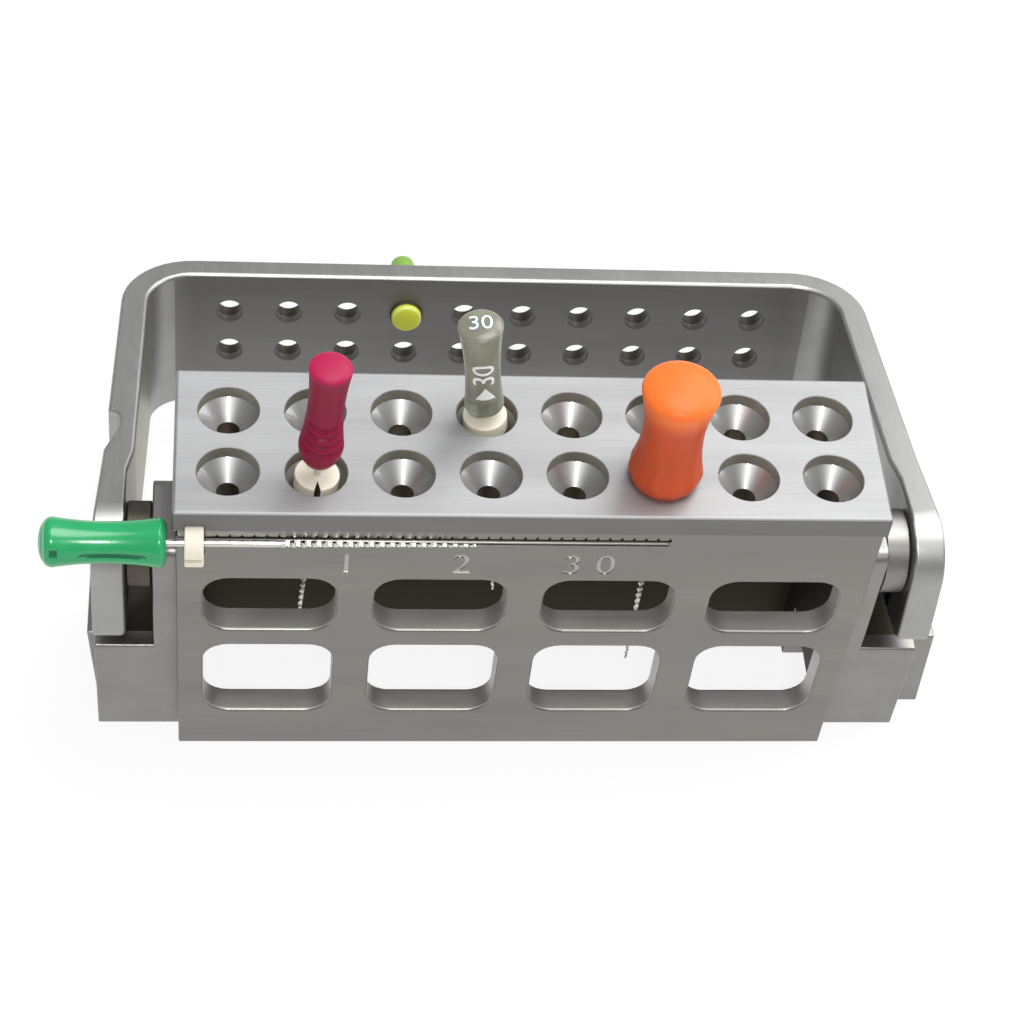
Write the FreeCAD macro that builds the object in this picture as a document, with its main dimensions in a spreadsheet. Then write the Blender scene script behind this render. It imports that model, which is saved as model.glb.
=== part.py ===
# Endodontic file holder: a windowed aluminium block with a drilled top plate and an
# engraved ruler, a swinging cover on two end brackets, four hand files and a marker peg.
# Millimetres, +Z up, +X along the block, +Y to its back. The origin lies under the
# middle of the front wall, on the surface that the block stands on.
import FreeCAD, Part
import os
import re
import Sketcher

Vector = FreeCAD.Vector
Rotation = FreeCAD.Rotation

doc = FreeCAD.newDocument("EndodonticFileHolder")
sheet = doc.addObject("Spreadsheet::Sheet", "Dimensions")

SIZES = {
    # Top plate and its two rows of countersunk holes
    "plate_length": 58.7,
    "plate_depth": 15.6,
    "flange_thickness": 2.2,
    "plug_thickness": 2.0,
    "plate_overhang": 0.25,
    "plate_edge_round": 0.3,
    "seat_clearance": 0.02,
    "hole_columns": 8,
    "hole_pitch": 7.13,
    "row_spacing": 6.62,
    "front_row_inset": 4.5,
    "countersink_diameter": 5.1,
    "counterbore_depth": 1.2,
    "cone_depth": 1.4,
    "bore_diameter": 1.9,
    # Windowed block under the plate
    "block_height": 32.4,
    "front_wall": 2.4,
    "back_wall": 2.4,
    "end_wall": 2.0,
    "window_width": 11.1,
    "lower_sill": 4.95,
    "lower_window_height": 9.55,
    "upper_sill": 16.7,
    "upper_window_height": 6.9,
    "window_corner_radius": 2.2,
    "window_lip_round": 0.3,
    "end_arch_depth": 7.7,
    "end_arch_height": 7.0,
    # Ruler on the front face
    "ruler_height": 28.8,
    "ruler_groove_diameter": 0.8,
    "ruler_zero_inset": 2.35,
    "ruler_length": 38.0,
    "ruler_step": 1.0,
    "ruler_notch_width": 0.6,
    "ruler_notch_depth": 0.25,
    "stop_slot_depth": 2.05,
    # End brackets
    "cheek_thickness": 2.1,
    "cheek_setback": 2.15,
    "cheek_depth": 8.4,
    "cheek_rise": 3.6,
    "cheek_corner_radius": 1.2,
    "foot_reach": 7.15,
    "foot_clearance": 0.95,
    "foot_depth": 12.6,
    "foot_edge_round": 0.6,
    "wing_setback": 2.6,
    "wing_drop": 1.5,
    "left_wing_reach": 0.8,
    "left_wing_foot_reach": 0.1,
    "right_wing_reach": 2.45,
    "right_wing_foot_reach": 2.9,
    "stop_pad_depth": 3.4,
    "stop_clearance": 0.05,
    "foot_screw_diameter": 2.0,
    "foot_screw_head_diameter": 3.8,
    "foot_screw_head_height": 2.0,
    "foot_screw_height": 5.0,
    "foot_screw_head_clearance": 0.1,
    "foot_screw_inset": 9.25,
    "foot_screw_grip": 4.5,
    "screw_engagement": 1.5,
    "socket_across_flats": 1.5,
    "socket_depth": 1.1,
    # Pivots
    "pivot_setback": 5.95,
    "pivot_height": 20.8,
    "pivot_diameter": 3.0,
    "bush_diameter": 7.3,
    "bush_length": 2.15,
    "running_clearance": 0.05,
    "pivot_head_diameter": 5.6,
    "pivot_head_height": 0.85,
    "pivot_slot_width": 0.8,
    "pivot_slot_depth": 0.5,
    "spotface_clearance": 0.25,
    # Swinging cover, in its own frame: pivot at the origin, rim up, panel to the back
    "open_tilt": 9.5,
    "arm_end_radius": 4.6,
    "cover_depth": 11.7,
    "panel_depth": 14.8,
    "cover_reach": 34.9,
    "panel_thickness": 2.35,
    "eye_thickness": 2.8,
    "eye_web": 1.9,
    "eye_length": 4.2,
    "eye_shoulder": 2.8,
    "arm_front_half_width": 32.85,
    "arm_front_thickness": 2.65,
    "arm_back_half_width": 32.3,
    "arm_back_thickness": 2.35,
    "cover_inner_radius": 4.2,
    "arm_toe_radius": 1.4,
    "rim_edge_round": 0.4,
    "panel_hole_columns": 10,
    "panel_hole_diameter": 2.5,
    "panel_hole_pitch": 5.55,
    "panel_row_drop": 4.2,
    "panel_row_spacing": 4.5,
    "notch_length": 5.4,
    "notch_slope": 3.2,
    "notch_depth": 1.1,
    "notch_sag": 0.55,
    # Hand files
    "file_length": 25.0,
    "flute_length": 16.0,
    "shaft_diameter": 0.6,
    "tip_diameter": 0.26,
    "shaft_embed": 5.0,
    "stop_diameter": 3.7,
    "stop_thickness": 1.55,
    "stop_seat_gap": 0.05,
    "stop_notch_depth": 0.9,
    "stop_notch_width": 0.8,
    "crimson_gap": 3.8,
    "crimson_length": 10.7,
    "crimson_lean_angle": -3.0,
    "crimson_base_diameter": 2.4,
    "crimson_foot_diameter": 3.65,
    "crimson_foot_rise": 2.2,
    "crimson_waist_diameter": 2.95,
    "crimson_top_diameter": 3.5,
    "crimson_dome": 0.5,
    "clear_gap": 2.6,
    "clear_length": 9.9,
    "clear_base_diameter": 2.7,
    "clear_foot_diameter": 3.3,
    "clear_foot_rise": 0.5,
    "clear_waist_diameter": 3.1,
    "clear_top_diameter": 3.75,
    "clear_dome": 0.5,
    "clear_lean_angle": 6.5,
    "orange_gap": 2.5,
    "orange_length": 10.7,
    "orange_base_diameter": 4.4,
    "orange_foot_diameter": 6.2,
    "orange_foot_rise": 1.3,
    "orange_waist_diameter": 5.2,
    "orange_top_diameter": 6.4,
    "orange_dome": 1.1,
    "green_gap": 3.0,
    "green_length": 10.2,
    "green_base_diameter": 3.0,
    "green_foot_diameter": 4.1,
    "green_foot_rise": 0.6,
    "green_waist_diameter": 3.4,
    "green_top_diameter": 4.1,
    "green_dome": 1.2,
    "green_stop_diameter": 3.9,
    "green_standoff": 0.35,
    # Marker peg in the cover's panel
    "peg_clearance": 0.07,
    "peg_head_diameter": 3.1,
    "peg_head_thickness": 1.3,
    "peg_stem_length": 8.6,
    "peg_bevel": 0.4,
    "peg_dome": 0.95,
}

# Holes that are in use, counted from the left
CRIMSON_COLUMN = 1
CLEAR_COLUMN = 3
ORANGE_COLUMN = 5
PEG_COLUMN = 3

for row, (alias, value) in enumerate(SIZES.items(), start=1):
    sheet.set(f"A{row}", alias.replace("_", " "))
    sheet.set(f"B{row}", str(value))
    sheet.setAlias(f"B{row}", alias)
doc.recompute()


def cells(formula):
    """The formula with every size name turned into its cell in the sheet."""
    return re.sub(r"[a-z][a-z_]+", lambda m: f"Dimensions.{m[0]}" if m[0] in SIZES else m[0], formula)


def number(formula):
    """A formula's present value."""
    return float(sheet.evalExpression(cells(formula)))


def bind(thing, prop, formula):
    """Ties a property to a formula of the sheet's cells."""
    thing.setExpression(prop, cells(formula))


# Places that several pieces share, as formulas of the sheet's cells

FACE_Y = "(-front_wall / 2)"
PLATE_FRONT_Y = f"({FACE_Y} - plate_overhang)"
BODY_LENGTH = "(plate_length - 2 * plate_overhang)"
BODY_DEPTH = "(plate_depth - 2 * plate_overhang)"
BODY_END_X = f"({BODY_LENGTH} / 2)"
BODY_BACK_Y = f"({FACE_Y} + {BODY_DEPTH})"
SEAT_Z = "(block_height - flange_thickness)"
FRONT_ROW_Y = f"({PLATE_FRONT_Y} + front_row_inset)"
HOLE_START_X = "(-(hole_columns - 1) / 2 * hole_pitch)"
RULER_ZERO_X = f"(-{BODY_END_X} + ruler_zero_inset)"
FILE_LINE_Y = f"({FACE_Y} - green_standoff)"
CHEEK_X = f"({BODY_END_X} + cheek_thickness)"
BRACKET_Y = f"({FACE_Y} + cheek_setback)"
FOOT_X = f"({BODY_END_X} + foot_reach)"
PIVOT_Y = f"({FACE_Y} + pivot_setback)"
BUSH_END_X = f"({CHEEK_X} + bush_length)"
EYE_X = f"({BUSH_END_X} + running_clearance)"
TOE_DROP = "(cover_depth - arm_end_radius)"
TOE_REACH = f"sqrt(pow(arm_end_radius; 2) + pow({TOE_DROP}; 2))"
FOOT_TOP_Z = f"(pivot_height - {TOE_REACH} - foot_clearance)"
WING_TOP_Z = f"({FOOT_TOP_Z} - wing_drop)"
CHEEK_TOP_Z = "(pivot_height + cheek_rise)"
FOOT_SCREW_Y = f"({BRACKET_Y} + foot_screw_inset)"
STOP_PAD_Y = f"({BRACKET_Y} + foot_depth)"
COVER_SHOULDER = "(eye_length + eye_shoulder)"
HEAD_SEAT_X = f"({EYE_X} + eye_web + running_clearance)"
STOP_SEAT_DEPTH = ("(counterbore_depth + cone_depth * (countersink_diameter - stop_diameter)"
                   " / (countersink_diameter - bore_diameter))")


def origin_plane(body, role):
    return next(f for f in body.Origin.OriginFeatures if f.Role == role)


def new_body(label):
    body = doc.addObject("PartDesign::Body", label)
    body.Label = label
    return body


def place(body, x="0", y="0", z="0", axis=Vector(0, 0, 1), angle="0"):
    """Sets a piece's place, with every coordinate tied to the sheet."""
    turn = number(angle)
    body.Placement = FreeCAD.Placement(Vector(number(x), number(y), number(z)), Rotation(axis, turn or 1.0))
    for letter, formula in (("x", x), ("y", y), ("z", z)):
        bind(body, f".Placement.Base.{letter}", formula)
    bind(body, ".Placement.Rotation.Angle", angle)


def new_sketch(body, name, role, height="0"):
    """An empty sketch on one of the body's own planes, lifted along its normal."""
    sketch = body.newObject("Sketcher::SketchObject", name)
    sketch.AttachmentSupport = (origin_plane(body, role), [""])
    sketch.MapMode = "FlatFace"
    sketch.AttachmentOffset = FreeCAD.Placement(Vector(0, 0, number(height)), Rotation())
    bind(sketch, ".AttachmentOffset.Base.z", height)
    return sketch


def pin_point(sketch, curve, position, x, y):
    """Holds one end of a curve at a place that the sheet gives."""
    for kind, axis, formula in (("DistanceX", -2, x), ("DistanceY", -1, y)):
        if formula == "0":
            sketch.addConstraint(Sketcher.Constraint("PointOnObject", curve, position, axis))
        else:
            index = sketch.addConstraint(
                Sketcher.Constraint(kind, -1, 1, curve, position, number(formula)))
            bind(sketch, f"Constraints[{index}]", formula)


def add_loop(sketch, corners):
    """Adds a closed outline. A corner is (x, y), or (x, y, sag) where the edge that follows it
    is an arc that stands out to the right of its chord by the sag, and to the left if negative."""
    points = [Vector(number(c[0]), number(c[1]), 0) for c in corners]
    ends = []
    for index, corner in enumerate(corners):
        start, end = points[index], points[(index + 1) % len(points)]
        if len(corner) == 2:
            curve = sketch.addGeometry(Part.LineSegment(start, end))
            ends.append((curve, 1, 2))
            continue
        chord = end - start
        sag = number(corner[2])
        outward = Vector(chord.y, -chord.x, 0).normalize()
        middle = (start + end) / 2 + outward * sag
        arc = Part.Arc(start, middle, end).toShape().Curve
        circle = Part.Circle(arc.Center, Vector(0, 0, 1), arc.Radius)
        turns = [circle.parameter(point) for point in (start, end)]
        if sag > 0:
            curve = sketch.addGeometry(Part.ArcOfCircle(circle, turns[0], turns[1]))
            ends.append((curve, 1, 2))
        else:
            curve = sketch.addGeometry(Part.ArcOfCircle(circle, turns[1], turns[0]))
            ends.append((curve, 2, 1))
        x2, y2 = corners[(index + 1) % len(corners)][:2]
        x1, y1 = corner[:2]
        half = f"((pow({x2} - ({x1}); 2) + pow({y2} - ({y1}); 2)) / 4)"
        radius = f"abs(({half} + pow({corner[2]}; 2)) / (2 * ({corner[2]})))"
        index_radius = sketch.addConstraint(Sketcher.Constraint("Radius", curve, number(radius)))
        bind(sketch, f"Constraints[{index_radius}]", radius)
    for index, (curve, start, end) in enumerate(ends):
        following = ends[(index + 1) % len(ends)]
        sketch.addConstraint(Sketcher.Constraint("Coincident", curve, end, following[0], following[1]))
        pin_point(sketch, curve, start, *corners[index][:2])


def add_circle(sketch, x, y, diameter):
    curve = sketch.addGeometry(Part.Circle(Vector(number(x), number(y), 0), Vector(0, 0, 1),
                                           number(diameter) / 2))
    pin_point(sketch, curve, 3, x, y)
    index = sketch.addConstraint(Sketcher.Constraint("Diameter", curve, number(diameter)))
    bind(sketch, f"Constraints[{index}]", diameter)


def cap_sag(radius, rise):
    """Sag of the arc that closes a turned piece with a spherical cap of this radius and rise."""
    sphere = f"((pow({radius}; 2) + pow({rise}; 2)) / (2 * ({rise})))"
    return f"({sphere} - sqrt(pow({sphere}; 2) - (pow({radius}; 2) + pow({rise}; 2)) / 4))"


def rectangle(x1, y1, x2, y2):
    return [(x1, y1), (x2, y1), (x2, y2), (x1, y2)]


def pad(body, name, sketch, length, symmetric=False, backwards=False):
    feature = body.newObject("PartDesign::Pad", name)
    feature.Profile = sketch
    bind(feature, "Length", length)
    if symmetric:
        feature.SideType = "Symmetric"
    feature.Reversed = backwards
    return feature


def pocket(body, name, sketch, length=None, symmetric=False, backwards=False):
    """Cuts the sketch away, to a length or right through. The body must lose volume."""
    doc.recompute()
    before = body.Shape.Volume
    feature = body.newObject("PartDesign::Pocket", name)
    feature.Profile = sketch
    if length is None:
        feature.Type = "ThroughAll"
    else:
        bind(feature, "Length", length)
    if symmetric:
        feature.SideType = "Symmetric"
    feature.Reversed = backwards
    doc.recompute()
    if not body.Shape.Volume < before - 1e-4:
        raise RuntimeError(f"{name} in {body.Label} cuts nothing")
    return feature


def revolve(body, name, sketch):
    feature = body.newObject("PartDesign::Revolution", name)
    feature.Profile = sketch
    feature.ReferenceAxis = (sketch, ["V_Axis"])
    feature.Angle = 360.0
    return feature


def repeat(body, name, feature, sketch, axis, pitch, count):
    """Copies a feature along a sketch axis: count is a size's name and pitch a formula."""
    pattern = body.newObject("PartDesign::LinearPattern", name)
    pattern.Originals = [feature]
    pattern.Direction = (sketch, [axis])
    bind(pattern, "Length", f"{pitch} * ({count} - 1)")
    bind(pattern, "Occurrences", count)
    body.Tip = pattern
    doc.recompute()
    return pattern


def round_edges(body, name, radius, wanted):
    """Rounds the edges of the body's last feature that wanted(edge) picks."""
    doc.recompute()
    base = body.Tip
    names = [f"Edge{i}" for i, edge in enumerate(base.Shape.Edges, start=1) if wanted(edge)]
    if not names:
        raise RuntimeError(f"{name} in {body.Label} finds no edge")
    feature = body.newObject("PartDesign::Fillet", name)
    feature.Base = (base, names)
    bind(feature, "Radius", radius)
    doc.recompute()
    return feature


def near(value, formula):
    return abs(value - number(formula)) < 1e-4


def ends_of(edge):
    return [vertex.Point for vertex in edge.Vertexes]


def make_hole_plate():
    """Flange over the walls, a plug between them, and countersunk holes for the files."""
    body = new_body("hole_plate")
    flange = new_sketch(body, "FlangeOutline", "XY_Plane", SEAT_Z)
    add_loop(flange, rectangle("-plate_length / 2", PLATE_FRONT_Y, "plate_length / 2",
                               f"{PLATE_FRONT_Y} + plate_depth"))
    pad(body, "Flange", flange, "flange_thickness")
    round_edges(body, "FlangeRound", "plate_edge_round",
                lambda e: all(near(p.z, "block_height") for p in ends_of(e)))
    plug = new_sketch(body, "PlugOutline", "XY_Plane", SEAT_Z)
    add_loop(plug, rectangle(f"-({BODY_END_X} - end_wall - seat_clearance)",
                             f"{FACE_Y} + front_wall + seat_clearance",
                             f"{BODY_END_X} - end_wall - seat_clearance",
                             f"{BODY_BACK_Y} - back_wall - seat_clearance"))
    pad(body, "Plug", plug, "plug_thickness", backwards=True)
    for row_name, row_y in (("Front", FRONT_ROW_Y), ("Back", f"({FRONT_ROW_Y} + row_spacing)")):
        hole = new_sketch(body, f"{row_name}HoleProfile", "XZ_Plane", f"-{row_y}")
        cone_radius = "bore_diameter / 2"
        rim_radius = "countersink_diameter / 2"
        straight_z = "block_height - counterbore_depth"
        add_loop(hole, [
            (HOLE_START_X, "block_height"),
            (HOLE_START_X, f"{SEAT_Z} - plug_thickness"),
            (f"{HOLE_START_X} + {cone_radius}", f"{SEAT_Z} - plug_thickness"),
            (f"{HOLE_START_X} + {cone_radius}", f"{straight_z} - cone_depth"),
            (f"{HOLE_START_X} + {rim_radius}", straight_z),
            (f"{HOLE_START_X} + {rim_radius}", "block_height"),
        ])
        doc.recompute()
        before = body.Shape.Volume
        groove = body.newObject("PartDesign::Groove", f"{row_name}Hole")
        groove.Profile = hole
        groove.ReferenceAxis = (hole, ["Edge1"])
        groove.Angle = 360.0
        doc.recompute()
        if not body.Shape.Volume < before - 1e-4:
            raise RuntimeError(f"{row_name} hole cuts nothing")
        repeat(body, f"{row_name}HoleRow", groove, hole, "H_Axis", "hole_pitch", "hole_columns")
    slot = new_sketch(body, "StopSlotOutline", "XZ_Plane", f"-{PLATE_FRONT_Y}")
    add_loop(slot, stop_slot_outline(SEAT_Z))
    pocket(body, "StopSlot", slot, f"plate_overhang + stop_slot_depth")
    return body


def stop_slot_outline(foot_z):
    """The slot at the ruler's zero that takes the rubber stop of the file being measured."""
    return rectangle(f"{RULER_ZERO_X} - stop_thickness - 2 * running_clearance", foot_z,
                     RULER_ZERO_X, "ruler_height + green_stop_diameter / 2 + running_clearance")


def make_block_body():
    """Four walls in one piece, open at the foot, with two rows of windows in the front."""
    body = new_body("block_body")
    outline = new_sketch(body, "WallOutline", "XY_Plane")
    add_loop(outline, rectangle(f"-{BODY_END_X}", FACE_Y, BODY_END_X, BODY_BACK_Y))
    add_loop(outline, rectangle(f"-({BODY_END_X} - end_wall)", f"{FACE_Y} + front_wall",
                                f"{BODY_END_X} - end_wall", f"{BODY_BACK_Y} - back_wall"))
    pad(body, "Walls", outline, SEAT_Z)
    for name, sill, height in (("Lower", "lower_sill", "lower_window_height"),
                               ("Upper", "upper_sill", "upper_window_height")):
        window = new_sketch(body, f"{name}WindowOutline", "XZ_Plane", f"-{FACE_Y}")
        left = "(-(hole_columns / 2 - 1) * hole_pitch - window_width / 2)"
        add_loop(window, rectangle(left, sill, f"{left} + window_width", f"{sill} + {height}"))
        cut = pocket(body, f"{name}Window", window, "front_wall")
        repeat(body, f"{name}WindowRow", cut, window, "H_Axis", "2 * hole_pitch",
               "hole_columns / 2")
    levels = [number(level) for level in ("lower_sill", "lower_sill + lower_window_height",
                                          "upper_sill", "upper_sill + upper_window_height")]

    def window_corner(edge):
        points = ends_of(edge)
        across = near(abs(points[0].y - points[-1].y), "front_wall")
        return across and any(abs(points[0].z - level) < 1e-4 for level in levels)

    def window_lip(edge):
        points = ends_of(edge)
        front = all(near(p.y, FACE_Y) and levels[0] - 1e-4 < p.z < levels[-1] + 1e-4 for p in points)
        return front and all(abs(p.x) < number(BODY_END_X) - 1e-4 for p in points)

    round_edges(body, "WindowCorners", "window_corner_radius", window_corner)
    round_edges(body, "WindowLips", "window_lip_round", window_lip)
    arch = new_sketch(body, "EndArchOutline", "YZ_Plane")
    cavity_y = f"({FACE_Y} + front_wall)"
    add_loop(arch, rectangle(cavity_y, "0", f"{cavity_y} + end_arch_depth", "end_arch_height"))
    pocket(body, "EndArches", arch, symmetric=True)
    slot = new_sketch(body, "StopSlotOutline", "XZ_Plane", f"-{FACE_Y}")
    add_loop(slot, stop_slot_outline("ruler_height - green_stop_diameter / 2 - running_clearance"))
    pocket(body, "StopSlot", slot, "stop_slot_depth")
    groove = new_sketch(body, "RulerGrooveSection", "YZ_Plane", f"-{BODY_END_X}")
    add_circle(groove, FACE_Y, "ruler_height", "ruler_groove_diameter")
    pocket(body, "RulerGroove", groove, f"ruler_zero_inset + ruler_length", backwards=True)
    notch = new_sketch(body, "RulerNotchOutline", "XZ_Plane", f"-{FACE_Y}")
    edge_z = "(ruler_height + ruler_groove_diameter / 4)"
    mark_x = f"({RULER_ZERO_X} + ruler_step)"
    add_loop(notch, [(f"{mark_x} - ruler_notch_width / 2", edge_z),
                     (f"{mark_x} + ruler_notch_width / 2", edge_z),
                     (mark_x, "ruler_height + ruler_groove_diameter")])
    cut = pocket(body, "RulerNotch", notch, "ruler_notch_depth")
    repeat(body, "RulerNotches", cut, notch, "H_Axis", "ruler_step", "ruler_length / ruler_step")
    pivot = new_sketch(body, "PivotHoles", "YZ_Plane")
    add_circle(pivot, PIVOT_Y, "pivot_height", "pivot_diameter + 2 * seat_clearance")
    pocket(body, "PivotHole", pivot, symmetric=True)
    screw = new_sketch(body, "FootScrewHoles", "YZ_Plane")
    add_circle(screw, FOOT_SCREW_Y, "foot_screw_height", "foot_screw_diameter + 2 * seat_clearance")
    pocket(body, "FootScrewHole", screw, symmetric=True)
    return body


def side_box(body, name, side, x1, x2, y1, y2, z1, z2):
    """A block of a bracket, given for the right end and turned over for the left."""
    outline = new_sketch(body, f"{name}Outline", "XY_Plane", z1)
    near_x, far_x = (f"{side} * ({x1})", f"{side} * ({x2})")
    add_loop(outline, rectangle(near_x, y1, far_x, y2))
    return pad(body, name, outline, f"({z2}) - ({z1})")


# The cover's lower edge is level as far as the shoulder and then falls to the panel.
# These give its height over the stop pad's back edge, where the cover rests when open.
EDGE_SLOPE = f"((panel_depth - cover_depth) / (cover_reach - panel_thickness - {COVER_SHOULDER}))"
EDGE_FALL = f"((tan(open_tilt) + {EDGE_SLOPE}) / (1 - tan(open_tilt) * {EDGE_SLOPE}))"
SHOULDER_Y = f"({PIVOT_Y} + {COVER_SHOULDER} * cos(open_tilt) - {TOE_DROP} * sin(open_tilt))"
SHOULDER_Z = f"(pivot_height - {COVER_SHOULDER} * sin(open_tilt) - {TOE_DROP} * cos(open_tilt))"
STOP_PAD_Z = f"({SHOULDER_Z} - ({STOP_PAD_Y} - {SHOULDER_Y}) * {EDGE_FALL} - stop_clearance)"


def make_bracket(label, side, wing_reach, wing_foot_reach):
    """Cheek screwed to the block's end, with a foot, a wing and the pad that stops the cover."""
    body = new_body(label)
    inner = BODY_END_X
    side_box(body, "Foot", side, inner, FOOT_X, BRACKET_Y, STOP_PAD_Y, "0", FOOT_TOP_Z)
    wing = new_sketch(body, "WingOutline", "XZ_Plane", f"-({BRACKET_Y} + wing_setback)")
    root_x = f"{side} * ({FOOT_X} - cheek_thickness)"
    add_loop(wing, [(root_x, "0"), (f"{side} * ({FOOT_X} + {wing_foot_reach})", "0"),
                    (f"{side} * ({FOOT_X} + {wing_reach})", WING_TOP_Z), (root_x, WING_TOP_Z)])
    pad(body, "Wing", wing, "foot_depth - wing_setback", backwards=True)
    side_box(body, "StopPad", side, CHEEK_X, FOOT_X, f"{STOP_PAD_Y} - stop_pad_depth", STOP_PAD_Y,
             f"{FOOT_TOP_Z} - wing_drop", STOP_PAD_Z)
    side_box(body, "Cheek", side, inner, CHEEK_X, BRACKET_Y, f"{BRACKET_Y} + cheek_depth",
             "0", CHEEK_TOP_Z)
    doc.recompute()
    round_edges(body, "CheekCorners", "cheek_corner_radius",
                lambda e: all(near(p.z, CHEEK_TOP_Z) for p in ends_of(e))
                and abs(ends_of(e)[0].y - ends_of(e)[-1].y) < 1e-4)
    round_edges(body, "FootRound", "foot_edge_round",
                lambda e: all(near(p.z, FOOT_TOP_Z) and near(p.y, BRACKET_Y) for p in ends_of(e)))
    pivot = new_sketch(body, "PivotHole", "YZ_Plane")
    add_circle(pivot, PIVOT_Y, "pivot_height", "pivot_diameter + 2 * seat_clearance")
    pocket(body, "PivotBore", pivot, symmetric=True)
    shank = new_sketch(body, "FootScrewHole", "YZ_Plane")
    add_circle(shank, FOOT_SCREW_Y, "foot_screw_height", "foot_screw_diameter + 2 * seat_clearance")
    pocket(body, "FootScrewBore", shank, symmetric=True)
    head = new_sketch(body, "FootScrewSeat", "YZ_Plane", f"{side} * ({BODY_END_X} + foot_screw_grip)")
    add_circle(head, FOOT_SCREW_Y, "foot_screw_height",
               "foot_screw_head_diameter + 2 * foot_screw_head_clearance")
    pocket(body, "FootScrewCounterbore", head, "foot_reach", backwards=side > 0)
    return body


def turned_piece(label, outline):
    """A piece turned about its own Z axis: outline is radius and height pairs."""
    body = new_body(label)
    sketch = new_sketch(body, "Profile", "XZ_Plane")
    add_loop(sketch, outline)
    revolve(body, "Turned", sketch)
    doc.recompute()
    return body


def make_bush(label, side):
    """Plain bush between a bracket's cheek and the cover's arm."""
    inner = "(pivot_diameter / 2 + seat_clearance)"
    body = turned_piece(label, rectangle(inner, "0", "bush_diameter / 2", "bush_length"))
    place(body, f"{side} * {CHEEK_X}", PIVOT_Y, "pivot_height", Vector(0, 1, 0), f"{side} * 90")
    return body


def make_pivot_screw(label, side):
    """Shoulder screw with a slotted flat head, on which the cover's arm turns."""
    shank = f"({HEAD_SEAT_X} - {BODY_END_X} + screw_engagement)"
    body = turned_piece(label, [
        ("0", "0"), ("pivot_diameter / 2", "0"), ("pivot_diameter / 2", shank),
        ("pivot_head_diameter / 2", shank), ("pivot_head_diameter / 2", f"{shank} + pivot_head_height"),
        ("0", f"{shank} + pivot_head_height")])
    slot = new_sketch(body, "DriverSlot", "XY_Plane", f"{shank} + pivot_head_height")
    add_loop(slot, rectangle("-pivot_slot_width / 2", "-pivot_head_diameter", "pivot_slot_width / 2",
                             "pivot_head_diameter"))
    pocket(body, "Slot", slot, "pivot_slot_depth")
    place(body, f"{side} * ({BODY_END_X} - screw_engagement)", PIVOT_Y, "pivot_height",
          Vector(0, 1, 0), f"{side} * 90")
    return body


def make_foot_screw(label, side):
    """Socket-head screw that holds a bracket's foot to the block's end wall."""
    length = "(foot_screw_grip + screw_engagement)"
    shank = doc.addObject("Part::Cylinder", f"{label}_shank")
    bind(shank, "Radius", "foot_screw_diameter / 2")
    bind(shank, "Height", length)
    head = doc.addObject("Part::Cylinder", f"{label}_head")
    bind(head, "Radius", "foot_screw_head_diameter / 2")
    bind(head, "Height", "foot_screw_head_height")
    bind(head, ".Placement.Base.z", length)
    solid = doc.addObject("Part::Fuse", f"{label}_solid")
    solid.Base, solid.Tool = shank, head
    socket = doc.addObject("Part::Prism", f"{label}_socket")
    socket.Polygon = 6
    bind(socket, "Circumradius", "socket_across_flats / sqrt(3)")
    bind(socket, "Height", "foot_screw_head_height")
    bind(socket, ".Placement.Base.z", f"{length} + foot_screw_head_height - socket_depth")
    screw = doc.addObject("Part::Cut", label)
    screw.Label = label
    screw.Base, screw.Tool = solid, socket
    place(screw, f"{side} * ({BODY_END_X} - screw_engagement)", FOOT_SCREW_Y, "foot_screw_height",
          Vector(0, 1, 0), f"{side} * 90")
    return screw


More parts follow.
